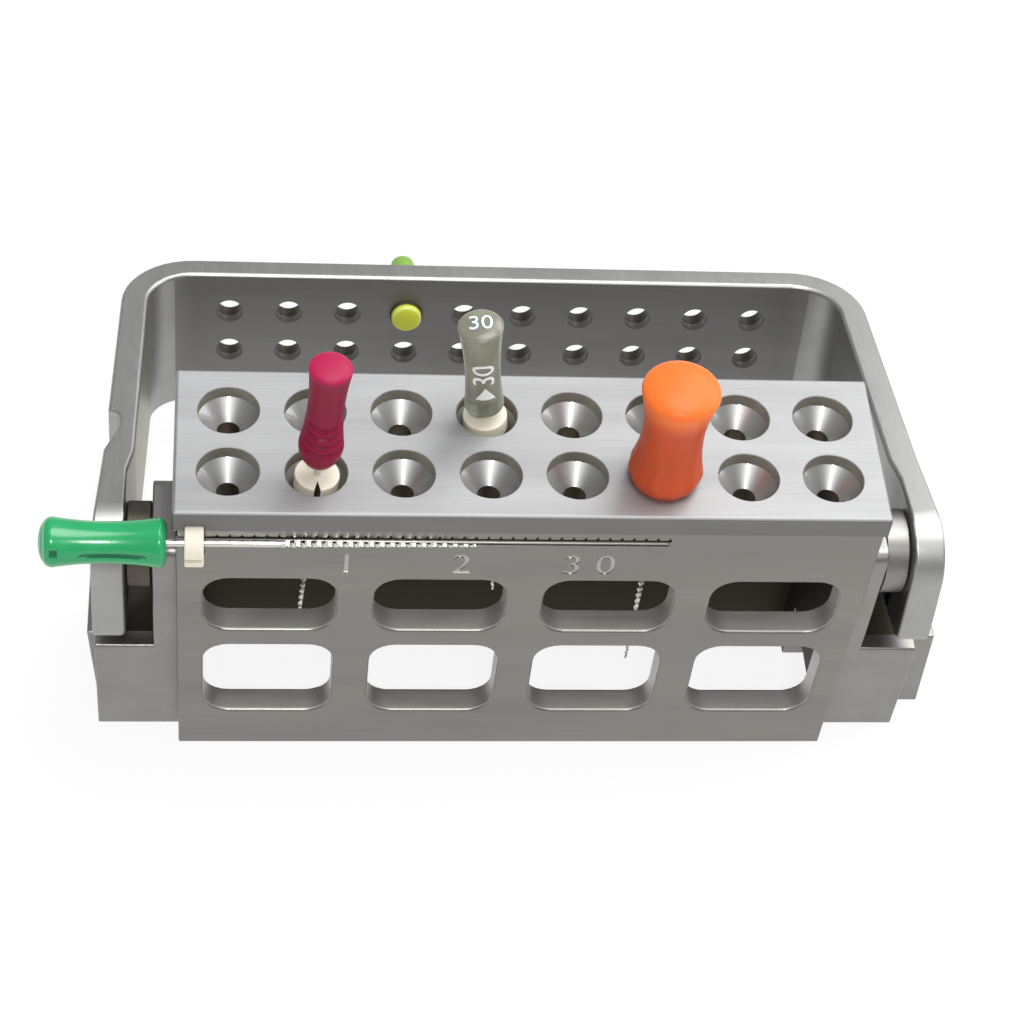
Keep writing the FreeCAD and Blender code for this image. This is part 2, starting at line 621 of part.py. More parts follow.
def make_swing_cover():
    """U-shaped cover: two arms with eyes at the pivots, and a panel drilled with two rows."""
    body = new_body("swing_cover")
    rim = "arm_end_radius"
    toe = "-arm_end_radius"
    eye_outer = f"({EYE_X} + eye_thickness)"
    front_outer = "(arm_front_half_width + arm_front_thickness)"
    back_outer = "(arm_back_half_width + arm_back_thickness)"
    inner_y = "(cover_reach - panel_thickness)"
    right = [(EYE_X, toe), (eye_outer, toe), (front_outer, COVER_SHOULDER), (back_outer, "cover_reach")]
    right_inner = [("arm_back_half_width", inner_y), ("arm_front_half_width", COVER_SHOULDER),
                   (EYE_X, "eye_length")]
    left = [(f"-{x}", y) for x, y in reversed(right)]
    left_inner = [(f"-{x}", y) for x, y in reversed(right_inner)]
    outline = new_sketch(body, "PlanOutline", "XY_Plane", rim)
    add_loop(outline, right + left + left_inner + right_inner)
    pad(body, "Wall", outline, "panel_depth", backwards=True)

    def upright_at(formula_x, formula_y):
        return lambda e: (len(e.Vertexes) == 2 and abs(ends_of(e)[0].z - ends_of(e)[1].z) > 1
                          and near(abs(ends_of(e)[0].x), formula_x) and near(ends_of(e)[0].y, formula_y))

    round_edges(body, "OuterCorners", "cover_inner_radius + panel_thickness",
                upright_at(back_outer, "cover_reach"))
    round_edges(body, "InnerCorners", "cover_inner_radius", upright_at("arm_back_half_width", inner_y))
    arc_sag = "(arm_end_radius * (1 - sqrt(2) / 2))"
    far = "(2 * arm_end_radius)"
    nose = new_sketch(body, "ArmNose", "YZ_Plane")
    add_loop(nose, [("0", rim, arc_sag), (toe, "0"), (f"-{far}", "0"), (f"-{far}", far),
                    ("0", far)])
    pocket(body, "ArmNoseRound", nose, symmetric=True)
    under = new_sketch(body, "LowerEdge", "YZ_Plane")
    foot = f"({rim} - panel_depth)"
    add_loop(under, [(f"-{COVER_SHOULDER}", f"{foot} - panel_depth"), (inner_y, f"{foot} - panel_depth"),
                     (inner_y, foot), (COVER_SHOULDER, f"-{TOE_DROP}"),
                     (f"-{COVER_SHOULDER}", f"-{TOE_DROP}")])
    pocket(body, "ArmsLowerEdge", under, symmetric=True)
    round_edges(body, "ArmToes", "arm_toe_radius",
                lambda e: all(near(p.y, toe) and near(p.z, "arm_end_radius - cover_depth")
                              for p in ends_of(e)))
    round_edges(body, "RimRound", "rim_edge_round",
                lambda e: all(near(p.z, rim) for p in ends_of(e)) and near(ends_of(e)[0].y, inner_y)
                and near(ends_of(e)[-1].y, inner_y))
    pivot = new_sketch(body, "PivotHoles", "YZ_Plane")
    add_circle(pivot, "0", "0", "pivot_diameter + 2 * running_clearance")
    pocket(body, "PivotBores", pivot, symmetric=True)
    for name, side in (("Right", 1), ("Left", -1)):
        face = new_sketch(body, f"{name}Spotface", "YZ_Plane", f"{side} * ({EYE_X} + eye_web)")
        add_circle(face, "0", "0", "pivot_head_diameter + 2 * spotface_clearance")
        pocket(body, f"{name}SpotfaceCut", face, "eye_thickness", backwards=side > 0)
    holes = new_sketch(body, "PanelHoles", "XZ_Plane", f"-{inner_y}")
    column_x = "(-(panel_hole_columns - 1) / 2 * panel_hole_pitch)"
    for drop in ("panel_row_drop", "(panel_row_drop + panel_row_spacing)"):
        add_circle(holes, column_x, f"{rim} - {drop}", "panel_hole_diameter")
    cut = pocket(body, "PanelHolePair", holes, "panel_thickness")
    repeat(body, "PanelHoleRows", cut, holes, "H_Axis", "panel_hole_pitch", "panel_hole_columns")
    notch = new_sketch(body, "ThumbNotch", "XY_Plane")
    taper = f"(({front_outer} - {back_outer}) / (cover_reach - {COVER_SHOULDER}))"
    deep_y = f"({COVER_SHOULDER} + notch_slope)"
    back_y = f"({COVER_SHOULDER} + notch_length)"
    outside = f"-({front_outer} + notch_depth)"
    add_loop(notch, [(outside, COVER_SHOULDER), (f"-{front_outer}", COVER_SHOULDER),
                     (f"-({front_outer} - {taper} * notch_slope - notch_depth)", deep_y, "notch_sag"),
                     (f"-({front_outer} - {taper} * notch_length)", back_y), (outside, back_y)])
    pocket(body, "ThumbNotchCut", notch, symmetric=True)
    place(body, "0", PIVOT_Y, "pivot_height", Vector(1, 0, 0), "-open_tilt")
    return body


def make_handle(name):
    """Waisted plastic handle, moulded round the shaft, with a rounded foot and a domed end."""
    base = f"{name}_gap"
    foot = f"({name}_gap + {name}_foot_rise)"
    top = f"({name}_gap + {name}_length)"
    base_radius = f"({name}_base_diameter / 2)"
    foot_radius = f"({name}_foot_diameter / 2)"
    end_radius = f"{name}_top_diameter / 2"
    waist = f"(({name}_top_diameter + {name}_foot_diameter) / 4 - {name}_waist_diameter / 2)"
    bulge = f"(({foot_radius} - {base_radius}) / 3)"
    return turned_piece(f"{name}_file_handle", [
        ("shaft_diameter / 2", base),
        (base_radius, base, bulge),
        (foot_radius, foot, f"-{waist}"),
        (end_radius, f"{top} - {name}_dome", cap_sag(end_radius, f"{name}_dome")),
        ("0", top),
        ("0", f"{base} + shaft_embed"),
        ("shaft_diameter / 2", f"{base} + shaft_embed")])


def make_shaft(name):
    """Steel shaft: plain upper part and a tapered working part that ends in a tip."""
    tip = f"({name}_gap - file_length)"
    return turned_piece(f"{name}_file_shaft", [
        ("0", f"{name}_gap + shaft_embed"),
        ("0", tip),
        ("tip_diameter / 4", tip),
        ("tip_diameter / 2", f"{tip} + tip_diameter"),
        ("shaft_diameter / 2", f"{tip} + flute_length"),
        ("shaft_diameter / 2", f"{name}_gap + shaft_embed")])


def make_stop(name, diameter="stop_diameter"):
    """Silicone disc on the shaft, with a direction notch in its rim."""
    body = new_body(f"{name}_file_stop")
    disc = new_sketch(body, "Disc", "XY_Plane")
    add_circle(disc, "0", "0", diameter)
    add_circle(disc, "0", "0", "shaft_diameter")
    pad(body, "Stop", disc, "stop_thickness")
    notch = new_sketch(body, "DirectionNotch", "XY_Plane", "stop_thickness")
    add_loop(notch, [("0", f"-({diameter} / 2 - stop_notch_depth)"),
                     ("-stop_notch_width / 2", f"-{diameter} / 2 - stop_notch_width"),
                     ("stop_notch_width / 2", f"-{diameter} / 2 - stop_notch_width")])
    pocket(body, "NotchCut", notch, "stop_thickness")
    return body


def place_standing_file(name, column, row_y, lean="0"):
    """Stands a file in a countersunk hole, with its stop on the cone."""
    pieces = [make_handle(name), make_shaft(name), make_stop(name)]
    for piece in pieces:
        place(piece, f"{HOLE_START_X} + {column} * hole_pitch", row_y,
              f"block_height - {STOP_SEAT_DEPTH} + stop_seat_gap + stop_diameter / 2 * abs(sin({lean}))",
              Vector(0, 1, 0), f"-({lean})")
    return pieces


def place_measured_file(name):
    """Lays a file along the ruler, with its stop in the slot at zero."""
    pieces = [make_handle(name), make_shaft(name), make_stop(name, f"{name}_stop_diameter")]
    for piece in pieces:
        place(piece, f"{RULER_ZERO_X} - running_clearance", FILE_LINE_Y, "ruler_height",
              Vector(0, 1, 0), "-90")
    return pieces


def make_marker_peg():
    """Moulded peg whose stem stands in a hole of the cover's panel."""
    stem = "(panel_hole_diameter / 2 - peg_clearance)"
    head = "peg_head_diameter / 2"
    body = turned_piece("marker_peg", [
        ("0", "-peg_head_thickness"),
        (f"{head} - peg_bevel", "-peg_head_thickness"),
        (head, "-peg_head_thickness + peg_bevel"),
        (head, "-seat_clearance"),
        (stem, "-seat_clearance"),
        (stem, "peg_stem_length - peg_dome", cap_sag(stem, "peg_dome")),
        ("0", "peg_stem_length")])
    along = "(cover_reach - panel_thickness)"
    rise = "(arm_end_radius - panel_row_drop)"
    place(body, f"(-(panel_hole_columns - 1) / 2 + {PEG_COLUMN}) * panel_hole_pitch",
          f"{PIVOT_Y} + {along} * cos(open_tilt) + {rise} * sin(open_tilt)",
          f"pivot_height - {along} * sin(open_tilt) + {rise} * cos(open_tilt)",
          Vector(1, 0, 0), "-(90 + open_tilt)")
    return body


sub_parts = [
    make_hole_plate(),
    make_block_body(),
    make_bracket("left_bracket", -1, "left_wing_reach", "left_wing_foot_reach"),
    make_bracket("right_bracket", 1, "right_wing_reach", "right_wing_foot_reach"),
    make_bush("left_pivot_bush", -1),
    make_bush("right_pivot_bush", 1),
    make_pivot_screw("left_pivot_screw", -1),
    make_pivot_screw("right_pivot_screw", 1),
    make_foot_screw("left_foot_screw", -1),
    make_foot_screw("right_foot_screw", 1),
    make_swing_cover(),
    make_marker_peg(),
]
sub_parts += place_standing_file("crimson", CRIMSON_COLUMN, FRONT_ROW_Y, "crimson_lean_angle")
sub_parts += place_standing_file("clear", CLEAR_COLUMN, f"({FRONT_ROW_Y} + row_spacing)",
                                 "clear_lean_angle")
sub_parts += place_standing_file("orange", ORANGE_COLUMN, FRONT_ROW_Y)
sub_parts += place_measured_file("green")

doc.recompute()
for thing in doc.Objects:
    if "Invalid" in thing.State or "Error" in thing.State:
        raise RuntimeError(f"{thing.Label} did not build: {thing.State}")
for piece in sub_parts:
    if piece.Shape.isNull() or not piece.Shape.isValid():
        raise RuntimeError(f"{piece.Label} has no valid shape")

os.makedirs("parts", exist_ok=True)
for piece in sub_parts:
    piece.Shape.exportStep(f"parts/{piece.Label}.step")
    print(piece.Label, len(piece.Shape.Solids), round(piece.Shape.Volume, 2))
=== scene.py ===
import math
import bmesh
import bpy
from mathutils import Matrix, Vector


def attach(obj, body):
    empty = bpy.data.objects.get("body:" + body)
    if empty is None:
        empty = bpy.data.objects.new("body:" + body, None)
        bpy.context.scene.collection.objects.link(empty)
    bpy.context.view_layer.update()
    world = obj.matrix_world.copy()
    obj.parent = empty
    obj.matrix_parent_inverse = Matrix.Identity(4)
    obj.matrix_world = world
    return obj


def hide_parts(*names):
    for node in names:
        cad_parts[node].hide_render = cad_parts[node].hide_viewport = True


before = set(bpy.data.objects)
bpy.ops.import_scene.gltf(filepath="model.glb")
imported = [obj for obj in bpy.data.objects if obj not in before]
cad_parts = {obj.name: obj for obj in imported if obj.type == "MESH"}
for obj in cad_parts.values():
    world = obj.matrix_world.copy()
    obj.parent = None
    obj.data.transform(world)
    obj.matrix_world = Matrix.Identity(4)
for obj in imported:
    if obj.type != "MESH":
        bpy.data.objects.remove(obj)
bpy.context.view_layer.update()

# Camera: a long lens held high in front of the block, a little to its left and rolled,
# looking down on the plate as the photograph does.
mm = 0.001
heading, dip, roll = (math.radians(angle) for angle in (9.93, 50.04, -8.23))
forward = Vector((math.sin(heading) * math.cos(dip), math.cos(heading) * math.cos(dip), -math.sin(dip)))
level = Vector((math.cos(heading), -math.sin(heading), 0))
down = forward.cross(level)
across = level * math.cos(roll) + down * math.sin(roll)
upward = level * math.sin(roll) - down * math.cos(roll)
camera = bpy.data.objects.new("camera", bpy.data.cameras.new("camera"))
bpy.context.scene.collection.objects.link(camera)
camera.data.lens = 88.8
camera.data.clip_start = 0.01
stand = Matrix((across, upward, -forward)).transposed().to_4x4()
camera.matrix_world = Matrix.Translation(Vector((-24.7, -129.9, 188.65)) * mm) @ stand
bpy.context.scene.camera = camera
bpy.context.scene.view_settings.view_transform = "Standard"


# Studio: a wide pale floor and an even pale sky, a small lamp near the camera that draws the
# bright streaks in the countersinks, and wider lamps behind, beside and over the block.
def node_maker(tree, prefix=""):
    """A function that adds a node to a tree. Its settings are values of sockets, or fields."""
    def node(kind, **settings):
        made = tree.nodes.new(prefix + kind)
        for key, value in settings.items():
            socket = key.replace("_", " ")
            if socket in made.inputs:
                made.inputs[socket].default_value = value
            else:
                setattr(made, key, value)
        return made

    return node


def new_material(name):
    """An empty material and its tools: add a node, and join two sockets."""
    material = bpy.data.materials.new(name)
    material.use_nodes = True
    tree = material.node_tree
    tree.nodes.clear()
    return material, node_maker(tree, "ShaderNode"), tree.links.new


def floor_material(white_share=0.88):
    """Matt white board. Seen straight, mirrored or through plastic, it is mostly plain white."""
    material, node, join = new_material("floor_board")
    board = node("BsdfDiffuse", Color=(0.86, 0.86, 0.86, 1))
    glow = node("Emission", Color=(1, 1, 1, 1))
    rays = node("LightPath")
    seen = node("Math", operation="ADD", use_clamp=True)
    either = node("Math", operation="ADD", use_clamp=True)
    share = node("Math", operation="MULTIPLY")
    share.inputs[1].default_value = white_share
    mix = node("MixShader")
    out = node("OutputMaterial")
    join(rays.outputs["Is Camera Ray"], seen.inputs[0])
    join(rays.outputs["Is Glossy Ray"], seen.inputs[1])
    join(seen.outputs[0], either.inputs[0])
    join(rays.outputs["Is Transmission Ray"], either.inputs[1])
    join(either.outputs[0], share.inputs[0])
    join(share.outputs[0], mix.inputs[0])
    join(board.outputs[0], mix.inputs[1])
    join(glow.outputs[0], mix.inputs[2])
    join(mix.outputs[0], out.inputs["Surface"])
    return material


floor_mesh = bpy.data.meshes.new("floor")
reach = 30.0
floor_mesh.from_pydata([(-reach, -reach, 0), (reach, -reach, 0), (reach, reach, 0), (-reach, reach, 0)],
                       [], [(0, 1, 2, 3)])
floor = bpy.data.objects.new("floor", floor_mesh)
bpy.context.scene.collection.objects.link(floor)
floor_mesh.materials.append(floor_material())

sky = bpy.data.worlds.new("sky")
sky.use_nodes = True
sky.node_tree.nodes["Background"].inputs["Color"].default_value = (0.97, 0.985, 1.0, 1)
sky.node_tree.nodes["Background"].inputs["Strength"].default_value = 0.42
bpy.context.scene.world = sky


def soft_lamp(name, place, aim, width, depth, watts):
    """A rectangular lamp of that size in metres, turned to face the aim."""
    lamp = bpy.data.objects.new(name, bpy.data.lights.new(name, "AREA"))
    lamp.data.shape = "RECTANGLE"
    lamp.data.size = width
    lamp.data.size_y = depth
    lamp.data.energy = watts
    bpy.context.scene.collection.objects.link(lamp)
    lamp.location = place
    lamp.rotation_euler = (Vector(aim) - Vector(place)).to_track_quat("-Z", "Y").to_euler()
    return lamp


soft_lamp("camera_lamp", (-0.03, -0.42, 0.58), (0, 0, 0.02), 0.10, 0.10, 2.0)
soft_lamp("back_lamp", (0.48, 0.62, 0.72), (0, 0, 0.02), 0.5, 0.5, 3.6)
soft_lamp("side_lamp", (0.20, 0.06, 0.15), (0, 0, 0.03), 0.14, 0.14, 0.22)
soft_lamp("top_lamp", (0.12, 0.10, 0.85), (0, 0, 0.02), 0.5, 0.5, 5.5)


# Block: four walls milled in one piece from aluminium bar and finely brushed, open at the
# foot. Two rows of windows light the file tips, and an arch is cut low in each end wall.
block_length, block_front, block_back, block_top = 58.2, -1.2, 13.9, 30.2
wall, end_wall = 2.4, 2.0
hole_pitch = 7.13
window_width, window_corner, window_lip = 11.1, 2.2, 0.3
window_rows = ((4.95, 9.55), (16.7, 6.9))
# The inside tone is painted shade: near-black metal that stands in for the shade in the block's cavity.
front_tone, inside_shade_tone = (0.235, 0.228, 0.212), (0.035, 0.030, 0.022)


def rounded(corners, steps=6):
    """A closed outline in mm. A corner (x, y, radius) is replaced by an arc."""
    points = []
    for index, corner in enumerate(corners):
        here = Vector(corner[:2])
        if len(corner) == 2:
            points.append(here)
            continue
        back = (Vector(corners[index - 1][:2]) - here).normalized()
        ahead = (Vector(corners[(index + 1) % len(corners)][:2]) - here).normalized()
        half = back.angle(ahead) / 2
        centre = here + (back + ahead).normalized() * corner[2] / math.sin(half)
        start = here + back * corner[2] / math.tan(half) - centre
        turn = (math.pi - 2 * half) * (1 if back.cross(ahead) < 0 else -1)
        points += [centre + Matrix.Rotation(turn * step / steps, 2) @ start for step in range(steps + 1)]
    return points


def box_outline(x1, y1, x2, y2, radius=None):
    corners = [(x1, y1), (x2, y1), (x2, y2), (x1, y2)]
    return rounded([(*corner, radius) for corner in corners]) if radius else corners


def new_piece(name, shape):
    """An object made from a bmesh, whose faces are first turned outwards."""
    bmesh.ops.recalc_face_normals(shape, faces=shape.faces)
    mesh = bpy.data.meshes.new(name)
    shape.to_mesh(mesh)
    shape.free()
    piece = bpy.data.objects.new(name, mesh)
    bpy.context.scene.collection.objects.link(piece)
    return piece


LAY = {"up": lambda u, v, h: (u, v, h), "front": lambda u, v, h: (u, h, v), "side": lambda u, v, h: (h, u, v)}


def prism(name, outline, low, high, facing="up"):
    """A closed solid in mm: an outline that is raised from low to high across its plane."""
    shape = bmesh.new()
    rings = [[shape.verts.new(LAY[facing](u, v, h)) for u, v in outline] for h in (low, high)]
    shape.faces.new(rings[0])
    shape.faces.new(rings[1])
    for index in range(len(outline)):
        shape.faces.new((rings[0][index - 1], rings[0][index], rings[1][index], rings[1][index - 1]))
    return new_piece(name, shape)


def settle(piece):
    """Turns a piece's modifiers into its plain mesh."""
    graph = bpy.context.evaluated_depsgraph_get()
    done = bpy.data.meshes.new_from_object(piece.evaluated_get(graph))
    piece.modifiers.clear()
    piece.data = done
    return piece


def combine(piece, tool, how="DIFFERENCE"):
    """Cuts a tool out of a piece, or joins it on, and throws the tool away."""
    work = piece.modifiers.new(tool.name, "BOOLEAN")
    work.operation = how
    work.solver = "EXACT"
    work.object = tool
    settle(piece)
    bpy.data.objects.remove(tool)
    return piece


def new_tree(name, inputs):
    """A Geometry Nodes tree with those named inputs, and its tools: add a node, join sockets."""
    tree = bpy.data.node_groups.new(name, "GeometryNodeTree")
    tree.interface.new_socket("Geometry", in_out="INPUT", socket_type="NodeSocketGeometry")
    for label, kind in inputs:
        tree.interface.new_socket(label, in_out="INPUT", socket_type="NodeSocket" + kind)
    tree.interface.new_socket("Geometry", in_out="OUTPUT", socket_type="NodeSocketGeometry")
    return tree, node_maker(tree), tree.links.new


def run_tree(piece, tree, values):
    """Runs a tree on a piece with those values of its named inputs, and keeps the result."""
    work = piece.modifiers.new(tree.name, "NODES")
    work.node_group = tree
    for item in tree.interface.items_tree:
        if item.item_type == "SOCKET" and item.in_out == "INPUT" and item.name in values:
            work[item.identifier] = values[item.name]
    return settle(piece)


def rows_tree():
    """Cuts copies of a tool, in columns and rows, out of a piece."""
    tree, node, join = new_tree("rows_of_cuts", [
        ("Tool", "Object"), ("Columns", "Int"), ("Rows", "Int"), ("First", "Vector"),
        ("Column Step", "Vector"), ("Row Step", "Vector"), ("Finish", "Material")])
    given = node("NodeGroupInput").outputs
    row = node("GeometryNodeMeshLine")
    join(given["Columns"], row.inputs["Count"])
    join(given["First"], row.inputs["Start Location"])
    join(given["Column Step"], row.inputs["Offset"])
    starts = node("GeometryNodeMeshLine")
    join(given["Rows"], starts.inputs["Count"])
    join(given["Row Step"], starts.inputs["Offset"])
    rows = node("GeometryNodeInstanceOnPoints")
    join(starts.outputs["Mesh"], rows.inputs["Points"])
    join(row.outputs["Mesh"], rows.inputs["Instance"])
    places = node("GeometryNodeRealizeInstances")
    join(rows.outputs["Instances"], places.inputs["Geometry"])
    tool = node("GeometryNodeObjectInfo", As_Instance=True)
    join(given["Tool"], tool.inputs["Object"])
    copies = node("GeometryNodeInstanceOnPoints")
    join(places.outputs["Geometry"], copies.inputs["Points"])
    join(tool.outputs["Geometry"], copies.inputs["Instance"])
    real = node("GeometryNodeRealizeInstances")
    finish = node("GeometryNodeSetMaterial")
    out = node("NodeGroupOutput")
    join(copies.outputs["Instances"], real.inputs["Geometry"])
    cut = node("GeometryNodeMeshBoolean", operation="DIFFERENCE", solver="EXACT")
    join(given["Geometry"], cut.inputs["Mesh 1"])
    join(real.outputs["Geometry"], cut.inputs["Mesh 2"])
    join(cut.outputs["Mesh"], finish.inputs["Geometry"])
    join(given["Finish"], finish.inputs["Material"])
    join(finish.outputs["Geometry"], out.inputs["Geometry"])
    return tree


def score(piece, axis, places):
    """Divides a piece's flat faces along planes, so that none has a whole window in it."""
    shape = bmesh.new()
    shape.from_mesh(piece.data)
    normal = Vector([1.0 if letter == axis else 0.0 for letter in "XYZ"])
    for place in places:
        bmesh.ops.bisect_plane(shape, geom=shape.verts[:] + shape.edges[:] + shape.faces[:],
                               plane_co=normal * place, plane_no=normal)
    shape.to_mesh(piece.data)
    shape.free()


def soften(piece, width_at, steps=3):
    """Rounds a piece's sharp edges. width_at(middle) is the width in mm, or nothing for none."""
    shape = bmesh.new()
    shape.from_mesh(piece.data)
    bmesh.ops.remove_doubles(shape, verts=shape.verts, dist=0.001)
    weight = shape.edges.layers.float.new("bevel_weight_edge")
    widest = 1.0
    for edge in shape.edges:
        if len(edge.link_faces) == 2 and edge.is_convex and edge.calc_face_angle() > 0.6:
            edge[weight] = (width_at((edge.verts[0].co + edge.verts[1].co) / 2) or 0) / widest
    shape.to_mesh(piece.data)
    shape.free()
    work = piece.modifiers.new("edges", "BEVEL")
    work.limit_method = "WEIGHT"
    work.width = widest
    work.segments = steps
    work.use_clamp_overlap = False
    settle(piece)
    shape = bmesh.new()
    shape.from_mesh(piece.data)
    bmesh.ops.dissolve_degenerate(shape, edges=shape.edges, dist=0.0005)
    shape.to_mesh(piece.data)
    shape.free()


def paint(piece, finish, wanted):
    """Gives a further finish to the faces that wanted(middle, normal) picks."""
    piece.data.materials.append(finish)
    for face in piece.data.polygons:
        if wanted(face.center, face.normal):
            face.material_index = len(piece.data.materials) - 1


def close_slits(piece):
    """Fills the slits that are left where one long edge meets two short ones."""
    shape = bmesh.new()
    shape.from_mesh(piece.data)
    bmesh.ops.holes_fill(shape, edges=[edge for edge in shape.edges if edge.is_boundary], sides=4)
    shape.to_mesh(piece.data)
    shape.free()


def hand_over(piece, body, nodes, smooth=38):
    """Smooths a finished piece, brings it to metres, hangs it on its body's empty and hides the CAD parts
    that it stands for.
    Faces that meet at less than the smooth angle, in degrees, are shaded as one."""
    close_slits(piece)
    main = next(finish for finish in piece.data.materials if finish)
    for index, finish in enumerate(piece.data.materials):
        piece.data.materials[index] = finish or main
    piece.data.shade_smooth()
    piece.data.set_sharp_from_angle(angle=math.radians(smooth))
    even = piece.modifiers.new("normals", "WEIGHTED_NORMAL")
    even.keep_sharp = True
    settle(piece)
    piece.data.transform(Matrix.Scale(mm, 4))
    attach(piece, body)
    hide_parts(*nodes)


def satin_metal(name, tone, along="X", rough=0.34, grain=0.075, depth=0.15, polish=0.0):
    """Brushed metal: fine scratches along one axis, cloudy patches, soft gloss, a polished skin."""
    material, node, join = new_material(name)
    place = node("TexCoord")
    fine = node("Mapping")
    fine.inputs["Scale"].default_value = [90 if axis == along else 4200 for axis in "XYZ"]
    scratches = node("TexNoise", Scale=1.0, Detail=5.0, Roughness=0.65)
    wide = node("Mapping")
    wide.inputs["Scale"].default_value = [40 if axis == along else 260 for axis in "XYZ"]
    clouds = node("TexNoise", Scale=1.0, Detail=3.0, Roughness=0.5)
    tones = node("ValToRGB")
    tones.color_ramp.elements[0].position = 0.25
    tones.color_ramp.elements[1].position = 0.75
    tones.color_ramp.elements[0].color = [*(c * (1 - 2 * grain) for c in tone), 1]
    tones.color_ramp.elements[1].color = [*(c * (1 + 2 * grain) for c in tone), 1]
    blend = node("MixRGB", blend_type="MIX", Fac=0.55)
    gloss = node("MapRange", To_Min=rough * 0.86, To_Max=rough * 1.16)
    relief = node("Bump", Strength=depth, Distance=0.00002)
    shader = node("BsdfPrincipled", Metallic=1.0)
    shader.inputs["Coat Weight"].default_value = polish
    shader.inputs["Coat Roughness"].default_value = 0.07
    out = node("OutputMaterial")
    join(place.outputs["Object"], fine.inputs["Vector"])
    join(fine.outputs["Vector"], scratches.inputs["Vector"])
    join(place.outputs["Object"], wide.inputs["Vector"])
    join(wide.outputs["Vector"], clouds.inputs["Vector"])
    join(scratches.outputs["Fac"], blend.inputs[1])
    join(clouds.outputs["Fac"], blend.inputs[2])
    join(blend.outputs[0], tones.inputs["Fac"])
    join(tones.outputs["Color"], shader.inputs["Base Color"])
    join(scratches.outputs["Fac"], gloss.inputs["Value"])
    join(gloss.outputs["Result"], shader.inputs["Roughness"])
    join(scratches.outputs["Fac"], relief.inputs["Height"])
    join(relief.outputs["Normal"], shader.inputs["Normal"])
    join(shader.outputs[0], out.inputs["Surface"])
    return material


block_front_finish = satin_metal("block_metal", front_tone)
painted_shade_inside_finish = satin_metal("block_inside_painted_shade_metal", inside_shade_tone, rough=0.55)
cut_rows = rows_tree()
half = block_length / 2
block = prism("block", box_outline(-half, block_front, half, block_back), 0, block_top)
combine(block, prism("cavity", box_outline(-half + end_wall, block_front + wall, half - end_wall,
                                           block_back - wall), -1, block_top + 1))
for sill, height in window_rows:
    window = prism("window", box_outline(-window_width / 2, 0, window_width / 2, height, window_corner),
                   -wall, wall, "front")
    run_tree(block, cut_rows, {"Tool": window, "Columns": 4, "Rows": 1, "First": (-3 * hole_pitch, 0, sill),
                               "Column Step": (2 * hole_pitch, 0, 0), "Finish": block_front_finish})
    bpy.data.objects.remove(window)
combine(block, prism("arches", box_outline(block_front + wall, -1, block_front + wall + 7.7, 7.0),
                     -half - 1, half + 1, "side"))

# Ruler: a rounded groove along the front wall that takes the file, a slot at its zero for
# the rubber stop, and a small notch at every millimetre over it.
ruler_zero, ruler_height, ruler_length = -26.75, 28.8, 38
groove_radius = 0.4
circle = [(block_front + groove_radius * math.cos(math.tau * k / 24),
           ruler_height + groove_radius * math.sin(math.tau * k / 24)) for k in range(24)]
combine(block, prism("groove", circle, -half - 1, ruler_zero + ruler_length, "side"))
notch = prism("notch", [(-0.22, 0.2), (0.22, 0.2), (0, 0.75)], -0.25, 0.25, "front")
run_tree(block, cut_rows, {"Tool": notch, "Columns": ruler_length, "Rows": 1,
                           "First": (ruler_zero + 1, block_front, ruler_height),
                           "Column Step": (1, 0, 0), "Finish": block_front_finish})
bpy.data.objects.remove(notch)
slot_left, slot_low, slot_top, slot_back = ruler_zero - 1.65, ruler_height - 2.0, ruler_height + 2.0, 0.85
combine(block, prism("slot", box_outline(slot_left, slot_low, ruler_zero, slot_top + 1),
                     block_front - 1, slot_back, "front"))
windows_low, windows_top, between_windows = 4.0, 24.5, 15.5


def block_edges(middle):
    """Width in mm of the rounding of the block's edge there."""
    if middle.y < block_front + 0.05 and abs(middle.x) > half - 0.05:
        return 0.22
    if middle.y < block_front + 0.05 and windows_low < middle.z < windows_top and abs(middle.x) < half - 0.1:
        return window_lip
    if abs(middle.y - block_front - wall) < 0.05 and windows_low < middle.z < windows_top:
        return 0.24 if middle.z < between_windows else 0.12
    if middle.z > ruler_height - 2.1:
        return 0.03
    return 0.12


score(block, "X", [column * hole_pitch for column in range(-3, 4)])
score(block, "Z", [10.0, 15.6, 20.2, 26.0])
soften(block, block_edges)
# Painted light: the window reveals, the sills above all, get a much paler tone than the front face, standing
# in for the light that falls into them from above.
painted_light_sill_finish = satin_metal("window_sill_painted_light_metal", (0.68, 0.67, 0.64), rough=0.6)
paint(block, painted_light_sill_finish, lambda p, n: block_front + 0.2 < p.y < block_front + wall + 0.1
      and 4.5 < p.z < 24.5 and abs(p.x) < half - end_wall)
# Painted shade: the faces inside the cavity take the near-black finish, for the shade between the walls.
paint(block, painted_shade_inside_finish, lambda p, n: abs(p.x) < half - end_wall + 0.01
      and block_front + wall - 0.01 < p.y < block_back - wall + 0.01)

# Ruler figures: plain numbers at every tenth millimetre, cut shallowly under the notches
# after the block was rounded, so that the light catches their edges.
figure_height, figure_depth, figure_line = 2.5, 0.07, 25.75


def lettering(words, height, thick):
    """Plain figures as a closed mesh in mm around the origin, facing up."""
    text = bpy.data.curves.new("figures", "FONT")
    text.body = words
    text.size = height * 1.4
    text.extrude = thick
    text.align_x, text.align_y = "CENTER", "CENTER"
    writer = bpy.data.objects.new("figures", text)
    bpy.context.scene.collection.objects.link(writer)
    graph = bpy.context.evaluated_depsgraph_get()
    shape = bmesh.new()
    shape.from_mesh(bpy.data.meshes.new_from_object(writer.evaluated_get(graph)))
    bpy.data.objects.remove(writer)
    bmesh.ops.remove_doubles(shape, verts=shape.verts, dist=0.0005)
    return new_piece("figures", shape)


def set_down(piece, place):
    """Moves a piece's mesh by a matrix, in mm."""
    piece.data.transform(place)
    return piece


def upright(x, z):
    """The place on the block's front face for a mark that was made flat."""
    return Matrix.Translation((x, block_front, z)) @ Matrix.Rotation(math.radians(90), 4, "X")


